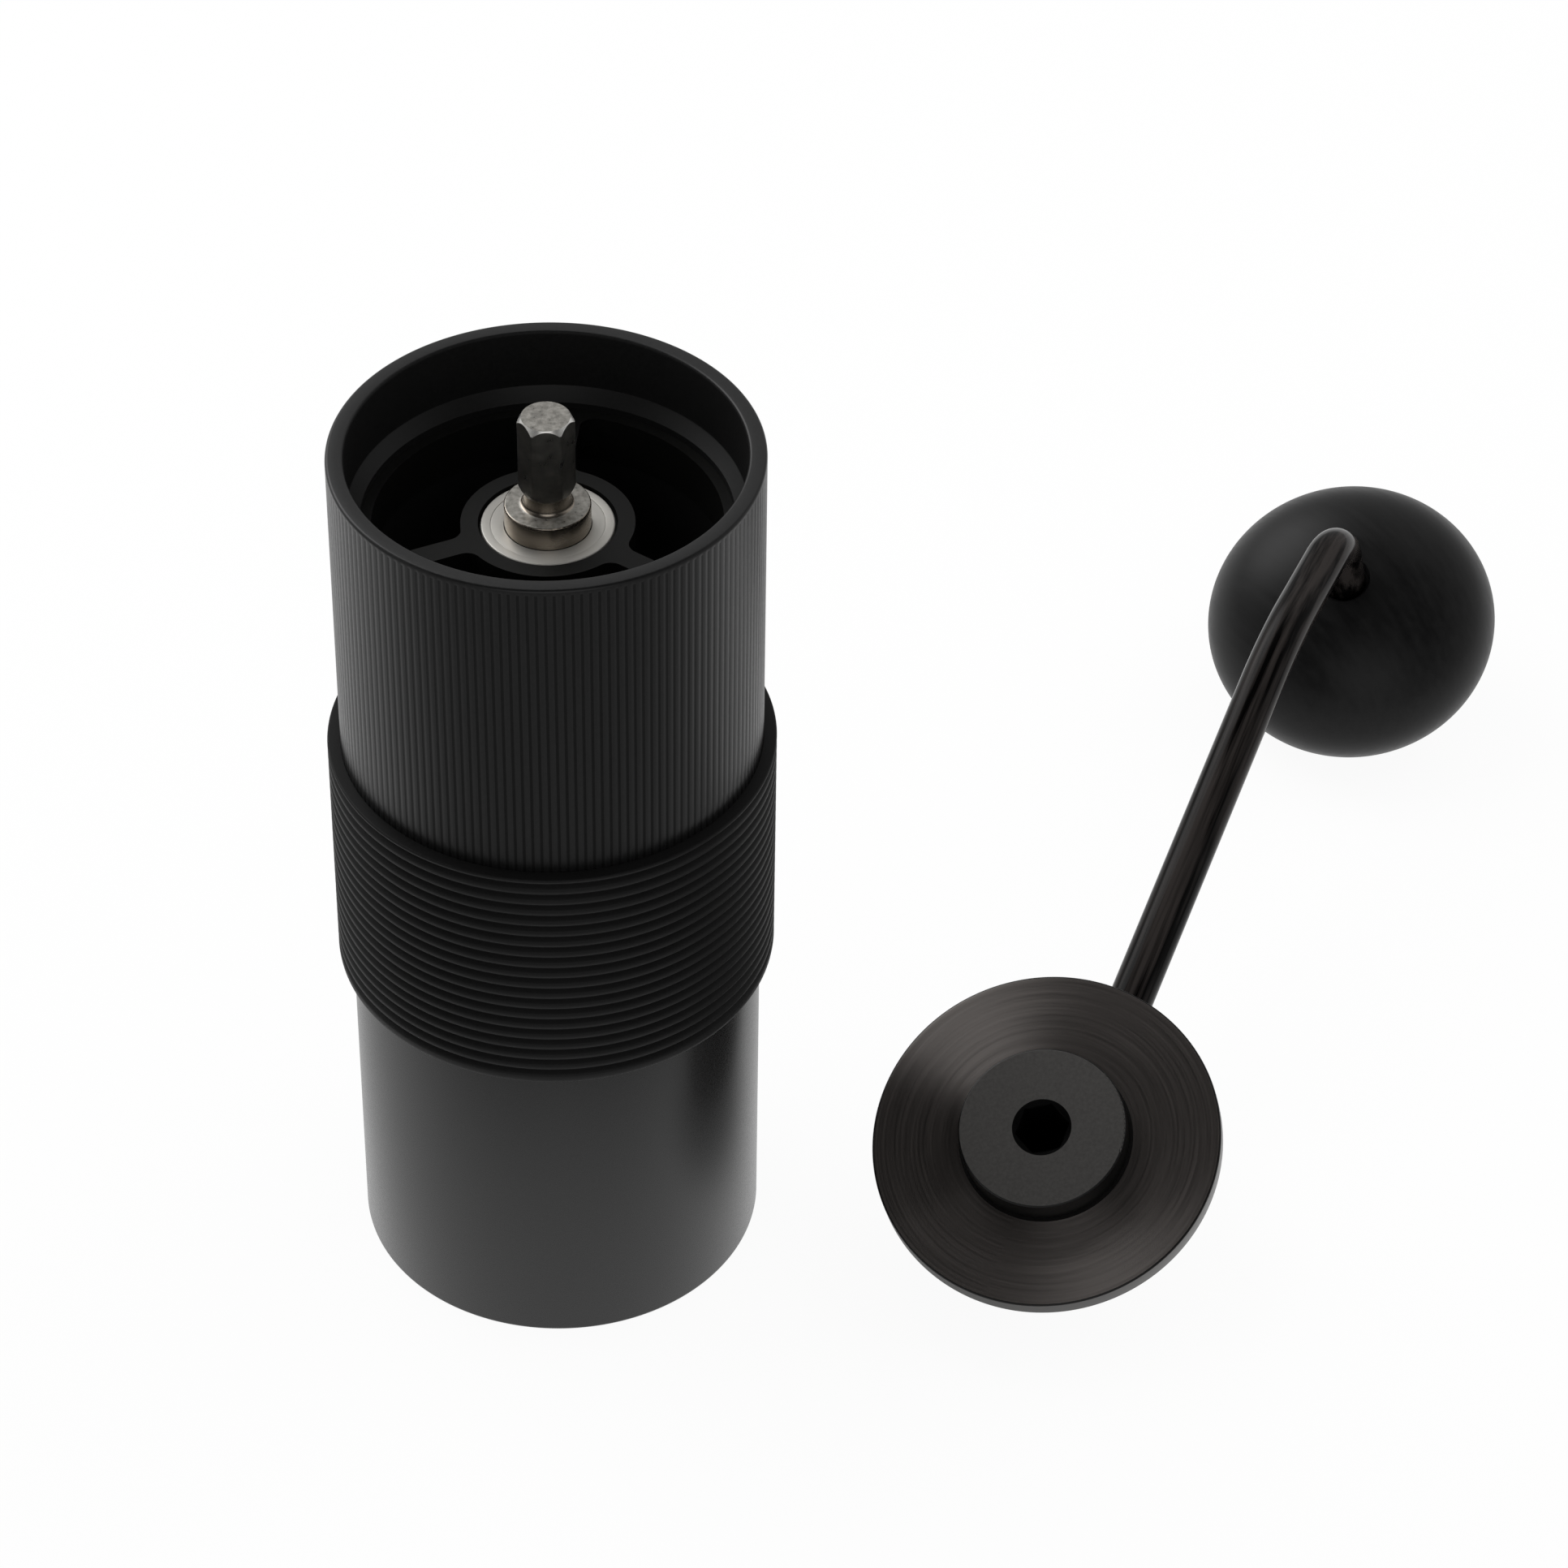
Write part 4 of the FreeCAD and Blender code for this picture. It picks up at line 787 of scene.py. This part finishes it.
@dataclass
class Drive:
    """The shaft, its bearings and the burrs it carries, with sizes in millimetres."""

    journal: float = 4.0
    collar_foot: float = 112.4
    collar_top: float = 115.5
    hexagon_foot: float = 117.35
    hexagon_edge: float = 0.16
    edge_steps: int = 3
    edge_upright: float = 0.99
    edge_radians: float = 0.7
    chamfer_rise: float = 0.2
    crisp_degrees: float = 24.0
    bearing: float = 8.0
    bearing_foot: float = 107.4
    race_land: float = 1.15
    land_edge: float = 0.03
    ring_foot_edge: float = 0.25
    ring_top_edge: float = 0.2
    shield: float = 0.3
    shield_recess: float = 0.05
    shield_gap: float = 0.1
    shield_edge: float = 0.05

    def build(self) -> None:
        """Dress the shaft, bearings, burr, dial and spring."""
        smooth_copy(
            "drive_shaft", SHAFT_STEEL, "drive", self.finish_shaft,
            [
                (SHAFT_FACED, lambda face: face.normal.z > FLAT), (SHAFT_TURNED, self.is_turned),
                (SHAFT_EDGE, lambda face: face.normal.z > self.chamfer_rise),
            ],
            sharp_degrees=self.crisp_degrees,
        )
        self.build_bearing()
        for node in (
            "upper_bearing_balls", "upper_bearing_inner_race", "lower_bearing_outer_race",
            "lower_bearing_balls", "lower_bearing_shields", "lower_bearing_inner_race", "detent_balls",
            "shaft_circlip", "spring_washer", "burr_spring", "click_plate",
        ):
            dress_node(node, INNER_STEEL)
        dress_node("inner_burr", BURR_STEEL)
        dress_node("adjuster_dial", CUP_BLACK)

    def is_turned(self, face: Face) -> bool:
        """Whether a face is below the hexagon, where the marks of the lathe show."""
        return face.calc_center_median().z < self.hexagon_foot * MM

    def finish_shaft(self, bm: Mesh) -> None:
        """Take the sharpness off the hexagon's upright edges and map the shaft for its finish.

        Args:
            bm: The shaft.
        """
        upright = [
            edge for edge in bm.edges
            if min(v.co.z for v in edge.verts) > self.collar_top * MM
            and abs((edge.verts[0].co - edge.verts[1].co).normalized().z) > self.edge_upright
            and len(edge.link_faces) == 2 and edge.calc_face_angle(0.0) > self.edge_radians
        ]
        bmesh.ops.bevel(
            bm, geom=upright, offset=self.hexagon_edge * MM, offset_type="OFFSET",
            segments=self.edge_steps, profile=0.5, affect="EDGES", clamp_overlap=True, material=-1,
        )
        map_turning(bm)

    def build_bearing(self) -> None:
        """Turn the bearing ring and shields that show in the mouth."""
        foot = self.bearing_foot
        top = self.collar_foot
        land = self.bearing - self.race_land
        turned_piece(
            "bearing_ring",
            [
                (land, foot), (self.bearing, foot, self.ring_foot_edge),
                (self.bearing, top, self.ring_top_edge), (land, top, self.land_edge),
            ],
            BEARING_STEEL, "housing", ["upper_bearing_outer_race"],
        )
        inner = self.journal + self.race_land + self.shield_gap
        outer = land - FIT
        low = foot + self.shield_recess
        high = top - self.shield_recess - self.shield
        for name, face in (("bearing_shield_low", low), ("bearing_shield_top", high)):
            turned_piece(
                name,
                [
                    (inner, face), (outer, face), (outer, face + self.shield, self.land_edge),
                    (inner, face + self.shield, self.shield_edge),
                ],
                BEARING_STEEL, "housing", ["upper_bearing_shields"],
            )


@dataclass
class Crank:
    """The crank that lies beside the grinder, drawn upright in its own frame.

    Sizes are in millimetres, and slopes, its tilt and its heading are in degrees.
    """

    lid: float = 22.7
    lid_foot: float = 4.2
    lid_top: float = 7.2
    lid_edge: float = 0.35
    lid_flat: float = 0.97
    ring_start: float = 0.7
    ring_margin: float = 0.8
    ring_pitch: float = 0.26
    ring_depth: float = 0.016
    ring_wave: Pair = (7.3, 1.9)
    boss: float = 10.9
    # Width of the painted shadow ring beside the boss
    boss_shadow_width: float = 0.5
    hub: float = 8.1
    socket_flats: float = 6.16
    socket_lead: float = 0.7
    arm: float = 3.0
    arm_steps: int = 40
    arm_height: float = 17.9
    arm_start: float = -7.0
    arm_slope: float = 3.9
    elbow_reach: float = 85.0
    elbow_slope: float = 24.6
    elbow_radius: float = 40.0
    elbow_steps: int = 14
    spindle_radius: float = 9.0
    spindle_steps: int = 26
    spindle_proud: float = 0.1
    knob_reach: float = 106.9
    knob_middle: float = 60.6
    knob_radius: float = 20.8
    knob_half: float = 14.7
    knob_flat: float = 0.8
    knob_bore: float = 4.62
    knob_entry: float = 3.4
    knob_lead: float = 0.3
    knob_lip: float = 0.9
    recess: float = 7.5
    recess_depth: float = 6.5
    plug: float = 7.48
    plug_bore: float = 6.68
    plug_thickness: float = 1.6
    plug_sink: float = 1.1
    plug_edge: float = 0.35
    plug_steps: int = 96
    tilt: float = 26.1191
    heading: float = 63.4
    origin: Triple = (61.6721, -14.3533, 23.4143)
    place: Matrix = field(init=False)

    def __post_init__(self) -> None:
        """Work out where the crank lies."""
        along = Vector((math.cos(math.radians(self.heading)), math.sin(math.radians(self.heading)), 0.0))
        lean = math.radians(self.tilt)
        reach = along * math.cos(lean) + Vector((0, 0, math.sin(lean)))
        rise = along * math.sin(lean) - Vector((0, 0, math.cos(lean)))
        across = rise.cross(reach)
        turn = Matrix((reach, across, rise)).transposed().to_4x4()
        self.place = Matrix.Translation(Vector(self.origin) * MM) @ turn

    @property
    def knob_place(self) -> Matrix:
        """Where pieces about the knob's axis go."""
        return self.place @ Matrix.Translation((self.knob_reach * MM, 0, 0))

    def build(self) -> None:
        """Build the lid, hub, arm and knob."""
        self.build_lid()
        axis = self.place.to_3x3().col[2]
        # The socket and the boss's side wall take painted shade.
        smooth_copy(
            "crank_hub", HUB_BLACK, "crank",
            extras=[
                (SOCKET_SHADE, self.is_socket), (HUB_SIDE_SHADE, lambda face: abs(face.normal.dot(axis)) < FLAT),
            ],
        )
        self.build_arm()
        self.build_knob()
        for node in ("lid_retaining_ring", "arm_grub_screw", "knob_washer", "knob_screw"):
            dress_node(node, INNER_STEEL)
        # Painted shade: the steel spindle collar takes the knob's black, so the pit where the rod enters
        # the knob shows dark.
        dress_node("spindle_collar", KNOB_BLACK)
        dress_node("knob_bush", BUSH_BRONZE)

    def is_socket(self, face: Face) -> bool:
        """Whether a face is in the hexagon socket or on its lead-in, which get a near-black tone as
        painted shade.
        """
        middle = self.place.inverted() @ face.calc_center_median()
        return middle.xy.length < (self.socket_flats / math.sqrt(3.0) + self.socket_lead) * MM

    def build_lid(self) -> None:
        """Turn the lid disc with its fine lathe rings."""
        bore = self.hub + FIT
        count = int((self.lid - self.boss - self.ring_margin) / self.ring_pitch)
        rings = [self.lid - self.ring_start - self.ring_pitch * k for k in range(count)]
        fast, slow = self.ring_wave
        depths = [self.ring_depth * (0.5 + 0.5 * math.sin(fast * k * k + slow * k)) for k in range(count)]
        lower = [(radius, self.lid_foot + depth) for radius, depth in zip(rings, depths)]
        upper = [(radius, self.lid_top - depth) for radius, depth in zip(rings, depths)]
        turned_piece(
            "lid_disc",
            [
                (bore, self.lid_foot), *reversed(lower), (self.lid, self.lid_foot, self.lid_edge),
                (self.lid, self.lid_top, self.lid_edge), *upper, (bore, self.lid_top),
            ],
            LID_TURNED, "crank", ["crank_lid"], self.place, steps=FINE_STEPS,
            # The lid's side gets painted light, its rounded edges a painted dark line, and the ring beside
            # the boss a painted shadow.
            extras=[(LID_SIDE_PAINTED_LIGHT, lambda face: abs(face.normal.z) < UPRIGHT), (LID_EDGE_SHADE, self.is_lid_shade)],
        )

    def is_lid_shade(self, face: Face) -> bool:
        """Whether a face is on the lid's rounded edges or in the ring beside the boss, which take painted
        shade: a dark line on the edges and a painted shadow beside the boss.
        """
        reach = face.calc_center_median().xy.length / MM
        return abs(face.normal.z) < self.lid_flat or reach < self.boss + self.boss_shadow_width

    def build_arm(self) -> None:
        """Draw the rod out from the hub, round its two bends and into the knob."""
        bm = bmesh.new()
        rise = math.radians(self.arm_slope)
        climb = math.radians(self.elbow_slope)
        start = Vector((self.arm_start, 0, self.arm_height + self.arm_start * math.tan(rise))) * MM
        bmesh.ops.create_circle(bm, cap_ends=True, segments=self.arm_steps, radius=self.arm * MM)
        stand = Matrix.Translation(start) @ Matrix.Rotation(math.pi / 2 - rise, 4, "Y")
        bmesh.ops.transform(bm, matrix=stand, verts=bm.verts[:])
        edges = bm.edges[:]
        elbow = Vector((self.elbow_reach, 0, self.arm_height + self.elbow_reach * math.tan(rise))) * MM
        run = (self.knob_reach - self.elbow_reach) * MM
        top_bend = elbow + Vector((run, 0, run * math.tan(climb)))
        first = Vector((math.cos(rise), 0, math.sin(rise)))
        second = Vector((math.cos(climb), 0, math.sin(climb)))
        third = Vector((0, 0, 1))
        elbow_set = self.elbow_radius * MM * math.tan((climb - rise) / 2)
        spindle_set = self.spindle_radius * MM * math.tan((math.pi / 2 - climb) / 2)
        edges = self.draw_out(bm, edges, first * ((elbow - start).length - elbow_set))
        edges = self.bend_up(
            bm, edges, elbow - first * elbow_set, first, self.elbow_radius, climb - rise, self.elbow_steps
        )
        edges = self.draw_out(bm, edges, second * ((top_bend - elbow).length - elbow_set - spindle_set))
        edges = self.bend_up(
            bm, edges, top_bend - second * spindle_set, second, self.spindle_radius, math.pi / 2 - climb,
            self.spindle_steps,
        )
        end = (self.knob_middle + self.knob_half - self.recess_depth + self.spindle_proud) * MM
        edges = self.draw_out(bm, edges, third * (end - top_bend.z - spindle_set))
        bmesh.ops.edgeloop_fill(bm, edges=edges)
        bmesh.ops.recalc_face_normals(bm, faces=bm.faces[:])
        # The rod's finish carries painted reflection streaks along it.
        make_piece("arm_rod", bm, ARM_BLACK_REFLECTION_STREAKS, "crank", ["crank_arm"], self.place)

    @staticmethod
    def draw_out(bm: Mesh, edges: Edges, way: Vector) -> Edges:
        """Draw a ring of edges straight out.

        Args:
            bm: The rod.
            edges: The ring at its open end.
            way: How far and which way, in metres.

        Returns:
            The ring at the new open end.
        """
        made = bmesh.ops.extrude_edge_only(bm, edges=edges)["geom"]
        bmesh.ops.translate(bm, vec=way, verts=[g for g in made if isinstance(g, bmesh.types.BMVert)])
        return [g for g in made if isinstance(g, bmesh.types.BMEdge) and len(g.link_faces) == 1]

    @staticmethod
    def bend_up(
        bm: Mesh, edges: Edges, point: Vector, along: Vector, radius: float, angle: float, steps: int
    ) -> Edges:
        """Carry a ring of edges round an upward bend.

        Args:
            bm: The rod.
            edges: The ring at its open end.
            point: Where the bend starts on the rod's middle line.
            along: The rod's way there.
            radius: The bend's radius in millimetres.
            angle: How far it turns.
            steps: How many faces go along it.

        Returns:
            The ring at the new open end.
        """
        centre = point + Vector((-along.z, 0, along.x)) * radius * MM
        made = bmesh.ops.spin(
            bm, geom=edges, cent=centre, axis=(0, -1, 0), dvec=(0, 0, 0), angle=angle, steps=steps,
            use_merge=False, use_duplicate=False,
        )["geom_last"]
        return [g for g in made if isinstance(g, bmesh.types.BMEdge)]

    def build_knob(self) -> None:
        """Turn the flattened ball, its bore and the plug in its top."""
        bm = bmesh.new()
        bmesh.ops.create_circle(bm, cap_ends=False, segments=FINE_STEPS, radius=1.0)
        size = Matrix.Diagonal((self.knob_radius * MM, self.knob_half * MM, 1.0, 1.0))
        bmesh.ops.transform(bm, matrix=Matrix.Rotation(math.pi / 2, 4, "X") @ size, verts=bm.verts[:])
        foot = (self.knob_flat - self.knob_half) * MM
        self.trim(bm, bm.edges[:], (self.knob_bore * MM, 0, 0), (1, 0, 0))
        self.trim(bm, bm.edges[:], (0, 0, foot), (0, 0, 1))
        upper = [edge for edge in bm.edges if min(vert.co.z for vert in edge.verts) > 0]
        self.trim(bm, upper, (self.recess * MM, 0, 0), (1, 0, 0))
        bmesh.ops.translate(bm, vec=(0, 0, self.knob_middle * MM), verts=bm.verts[:])
        ends = sorted((v for v in bm.verts if len(v.link_edges) == 1), key=lambda v: v.co.z)
        low, high = ends[0], ends[-1]
        floor = (self.knob_middle + self.knob_half - self.recess_depth) * MM
        entry = (self.knob_middle + foot / MM) * MM
        corners = (
            (self.knob_entry + self.knob_lead, entry), (self.knob_entry, entry + self.knob_lead * MM),
            (self.knob_entry, entry + self.knob_lip * MM), (self.knob_bore, entry + self.knob_lip * MM),
            (self.knob_bore, floor), (self.recess, floor),
        )
        path = [low, *(bm.verts.new((radius * MM, 0, height)) for radius, height in corners), high]
        for first, second in zip(path, path[1:]):
            bm.edges.new((first, second))
        turn_about_axis(bm, TURN_STEPS)
        map_turning(bm)
        make_piece("knob_ball", bm, KNOB_BLACK, "knob", ["knob_grip"], self.knob_place)
        top = self.knob_middle + self.knob_half - self.plug_sink
        under = top - self.plug_thickness
        turned_piece(
            "knob_plug",
            [
                (0, under), (self.plug_bore, under), (self.plug_bore, floor / MM), (self.plug, floor / MM),
                (self.plug, top, self.plug_edge), (0, top),
            ],
            KNOB_BLACK, "knob", ["knob_cap"], self.knob_place,
            steps=self.plug_steps, shape=Shape.OPEN,
        )

    @staticmethod
    def trim(bm: Mesh, edges: Edges, point: Sequence[float], keep: Sequence[float]) -> None:
        """Cut edges of a wire with a plane and keep the side the given way points to.

        Args:
            bm: The wire.
            edges: The edges to cut.
            point: A point on the plane.
            keep: The way to the side that stays.
        """
        ends = dict.fromkeys(vert for edge in edges for vert in edge.verts)
        bmesh.ops.bisect_plane(
            bm, geom=[*ends, *edges], dist=SNAP, plane_co=point, plane_no=keep,
            clear_inner=True, clear_outer=False,
        )


@dataclass
class Studio:
    """Pale floor, soft light and the camera, with places in metres and angles in radians."""

    eye: Triple = (0.0, -0.48432, 0.49454)
    yaw: float = 0.0590
    pitch: float = 0.7184
    roll: float = 0.0171
    lens: float = 119.03
    film: float = 36.0
    near_clip: float = 0.01
    dark_side: Triple = (0.0, -0.5, 0.866)
    dark_span: Pair = (0.3, 0.78)
    room_light: float = 0.5
    room_dark: float = 0.03
    soft_light: float = 0.6
    window_side: Triple = (-0.52, 0.60, 0.61)
    window_span: Pair = (0.9, 0.985)
    window_light: float = 2.9
    front_side: Triple = (0.0, -0.93, 0.37)
    front_span: Pair = (0.82, 0.985)
    front_light: float = 1.0
    floor_size: float = 3.0
    floor_tone: Triple = (0.85, 0.85, 0.85)
    floor_seen: float = 0.94
    floor_front: float = 0.29
    floor_slant: float = -0.4
    floor_span: Pair = (-0.15, -0.04)
    crank_shade: Triple = (0.060, -0.014, 0.0)
    shade_span: Pair = (0.012, 0.032)
    shade_light: float = 0.25
    lamp_aim: Triple = (0.04, 0.02, 0.05)
    lamp_size: float = 0.8
    key_place: Triple = (-0.45, 0.35, 0.85)
    key_power: float = 5.0
    fill_place: Triple = (0.6, 0.3, 0.7)
    fill_power: float = 2.0

    def build(self) -> None:
        """Set the stage."""
        self.build_camera()
        self.build_floor()
        self.build_world()
        self.add_light("key_light", self.key_place, self.key_power)
        self.add_light("fill_light", self.fill_place, self.fill_power)

    def build_camera(self) -> None:
        """Put the camera where the photograph was taken from."""
        right = Vector((math.cos(self.yaw), -math.sin(self.yaw), 0.0))
        level = Vector((math.sin(self.yaw), math.cos(self.yaw), 0.0))
        ahead = level * math.cos(self.pitch) - Vector((0, 0, math.sin(self.pitch)))
        up = right.cross(ahead)
        side = right * math.cos(self.roll) + up * math.sin(self.roll)
        head = up * math.cos(self.roll) - right * math.sin(self.roll)
        data = bpy.data.cameras.new("camera")
        data.lens = self.lens
        data.sensor_width = self.film
        data.clip_start = self.near_clip
        camera = bpy.data.objects.new("camera", data)
        camera.matrix_world = (
            Matrix.Translation(self.eye) @ Matrix((side, head, -ahead)).transposed().to_4x4()
        )
        bpy.context.scene.collection.objects.link(camera)
        bpy.context.scene.camera = camera

    def build_floor(self) -> None:
        """Lay a pale floor that keeps a faint shadow."""
        bm = bmesh.new()
        bmesh.ops.create_grid(bm, x_segments=1, y_segments=1, size=self.floor_size)
        mesh = bpy.data.meshes.new("floor")
        bm.to_mesh(mesh)
        bm.free()
        floor = bpy.data.objects.new("floor", mesh)
        bpy.context.scene.collection.objects.link(floor)
        material = bpy.data.materials.new("pale_floor")
        material.cycles.emission_sampling = "NONE"
        material.use_nodes = True
        tree = material.node_tree
        tree.nodes.clear()
        output = tree.nodes.new("ShaderNodeOutputMaterial")
        matte = tree.nodes.new("ShaderNodeBsdfDiffuse")
        matte.inputs["Color"].default_value = (*self.floor_tone, 1.0)
        glow = tree.nodes.new("ShaderNodeEmission")
        glow.inputs["Color"].default_value = WHITE
        tree.links.new(self.unless_seen(tree, self.floor_level(tree)), glow.inputs["Strength"])
        share = calculate(tree, "MULTIPLY", self.seen_rays(tree), self.floor_seen)
        self.blend(tree, share, matte.outputs["BSDF"], glow.outputs["Emission"], output)
        mesh.materials.append(material)

    def floor_level(self, tree: Tree) -> Socket:
        """Add how bright the floor is when mirrored: a painted shade in front, and a painted shadow under
        the crank.

        Args:
            tree: The floor's node tree.

        Returns:
            A socket with the level.
        """
        place = tree.nodes.new("ShaderNodeTexCoord")
        split = tree.nodes.new("ShaderNodeSeparateXYZ")
        tree.links.new(place.outputs["Object"], split.inputs["Vector"])
        wide = calculate(tree, "ABSOLUTE", split.outputs["X"])
        back = calculate(tree, "MULTIPLY_ADD", wide, self.floor_slant, split.outputs["Y"])
        front = remap(tree, back, self.floor_span, (self.floor_front, 1.0), Ease.SOFT)
        reach = tree.nodes.new("ShaderNodeVectorMath")
        reach.operation = "DISTANCE"
        reach.inputs[1].default_value = self.crank_shade
        tree.links.new(place.outputs["Object"], reach.inputs[0])
        under = remap(tree, reach.outputs["Value"], self.shade_span, (self.shade_light, 1.0), Ease.SOFT)
        return calculate(tree, "MULTIPLY", front, under)

    def build_world(self) -> None:
        """White where it is seen; when mirrored, a pale room with two windows and a dark side."""
        world = bpy.data.worlds.new("studio")
        bpy.context.scene.world = world
        world.cycles.sampling_method = "NONE"
        world.use_nodes = True
        tree = world.node_tree
        tree.nodes.clear()
        output = tree.nodes.new("ShaderNodeOutputWorld")
        seen = tree.nodes.new("ShaderNodeBackground")
        seen.inputs["Color"].default_value = WHITE
        dark = self.facing(tree, self.dark_side)
        level = remap(tree, dark, self.dark_span, (self.room_light, self.room_dark), Ease.SOFT)
        for side, span, light in (
            (self.window_side, self.window_span, self.window_light),
            (self.front_side, self.front_span, self.front_light),
        ):
            glare = remap(tree, self.facing(tree, side), span, (0.0, light), Ease.SOFT)
            level = calculate(tree, "ADD", level, glare)
        tree.links.new(self.unless_seen(tree, level), seen.inputs["Strength"])
        soft = tree.nodes.new("ShaderNodeBackground")
        soft.inputs["Color"].default_value = WHITE
        soft.inputs["Strength"].default_value = self.soft_light
        shown = (soft.outputs["Background"], seen.outputs["Background"])
        self.blend(tree, self.seen_rays(tree), *shown, output)

    @staticmethod
    def blend(tree: Tree, share: Socket, plain: Socket, seen: Socket, output: bpy.types.Node) -> None:
        """Mix two shaders and send them to the output.

        Args:
            tree: The node tree to add to.
            share: How much of the second shader there is.
            plain: The first shader.
            seen: The second shader.
            output: The output node.
        """
        mix = tree.nodes.new("ShaderNodeMixShader")
        for entry, source in zip(mix.inputs, (share, plain, seen)):
            tree.links.new(source, entry)
        tree.links.new(mix.outputs["Shader"], output.inputs["Surface"])

    @staticmethod
    def facing(tree: Tree, side: Triple) -> Socket:
        """Add a measure of how nearly a ray points one way.

        Args:
            tree: The world's node tree.
            side: The way, as a unit vector.

        Returns:
            A socket that is one along that way and minus one against it.
        """
        place = tree.nodes.new("ShaderNodeTexCoord")
        measure = tree.nodes.new("ShaderNodeVectorMath")
        measure.operation = "DOT_PRODUCT"
        measure.inputs[1].default_value = side
        tree.links.new(place.outputs["Generated"], measure.inputs[0])
        return measure.outputs["Value"]

    @staticmethod
    def unless_seen(tree: Tree, level: Socket) -> Socket:
        """Set a level to one for camera rays.

        Args:
            tree: The node tree to add to.
            level: The level for every other ray.

        Returns:
            A socket with the level.
        """
        path = tree.nodes.new("ShaderNodeLightPath")
        pick = tree.nodes.new("ShaderNodeMix")
        pick.inputs["B"].default_value = 1.0
        tree.links.new(path.outputs["Is Camera Ray"], pick.inputs["Factor"])
        tree.links.new(level, pick.inputs["A"])
        return pick.outputs["Result"]

    @staticmethod
    def seen_rays(tree: Tree) -> Socket:
        """Add the test for rays that show the background.

        Args:
            tree: The node tree to add to.

        Returns:
            A socket that is one for camera, mirrored and see-through rays.
        """
        path = tree.nodes.new("ShaderNodeLightPath")
        shown = calculate(
            tree, "MAXIMUM", path.outputs["Is Camera Ray"], path.outputs["Is Glossy Ray"]
        )
        return calculate(tree, "MAXIMUM", shown, path.outputs["Is Transmission Ray"])

    def add_light(self, name: str, place: Triple, power: float) -> None:
        """Add one soft lamp that faces the object.

        Args:
            name: The lamp's name.
            place: Where it hangs.
            power: Its power in watts.
        """
        data = bpy.data.lights.new(name, "AREA")
        data.shape = "DISK"
        data.size = self.lamp_size
        data.energy = power
        lamp = bpy.data.objects.new(name, data)
        lamp.visible_glossy = False
        way = Vector(self.lamp_aim) - Vector(place)
        lamp.matrix_world = Matrix.Translation(place) @ way.to_track_quat("-Z", "Y").to_matrix().to_4x4()
        bpy.context.scene.collection.objects.link(lamp)


def main() -> None:
    """Build every sub-assembly and the studio."""
    logging.basicConfig(level=logging.INFO, format="%(message)s")
    bpy.context.scene.view_settings.view_transform = "Standard"
    for part in (CatchCup(), Housing(), Drive(), Crank(), Studio()):
        part.build()
        LOG.info("built %s", type(part).__name__)


if __name__ == "__main__":
    main()
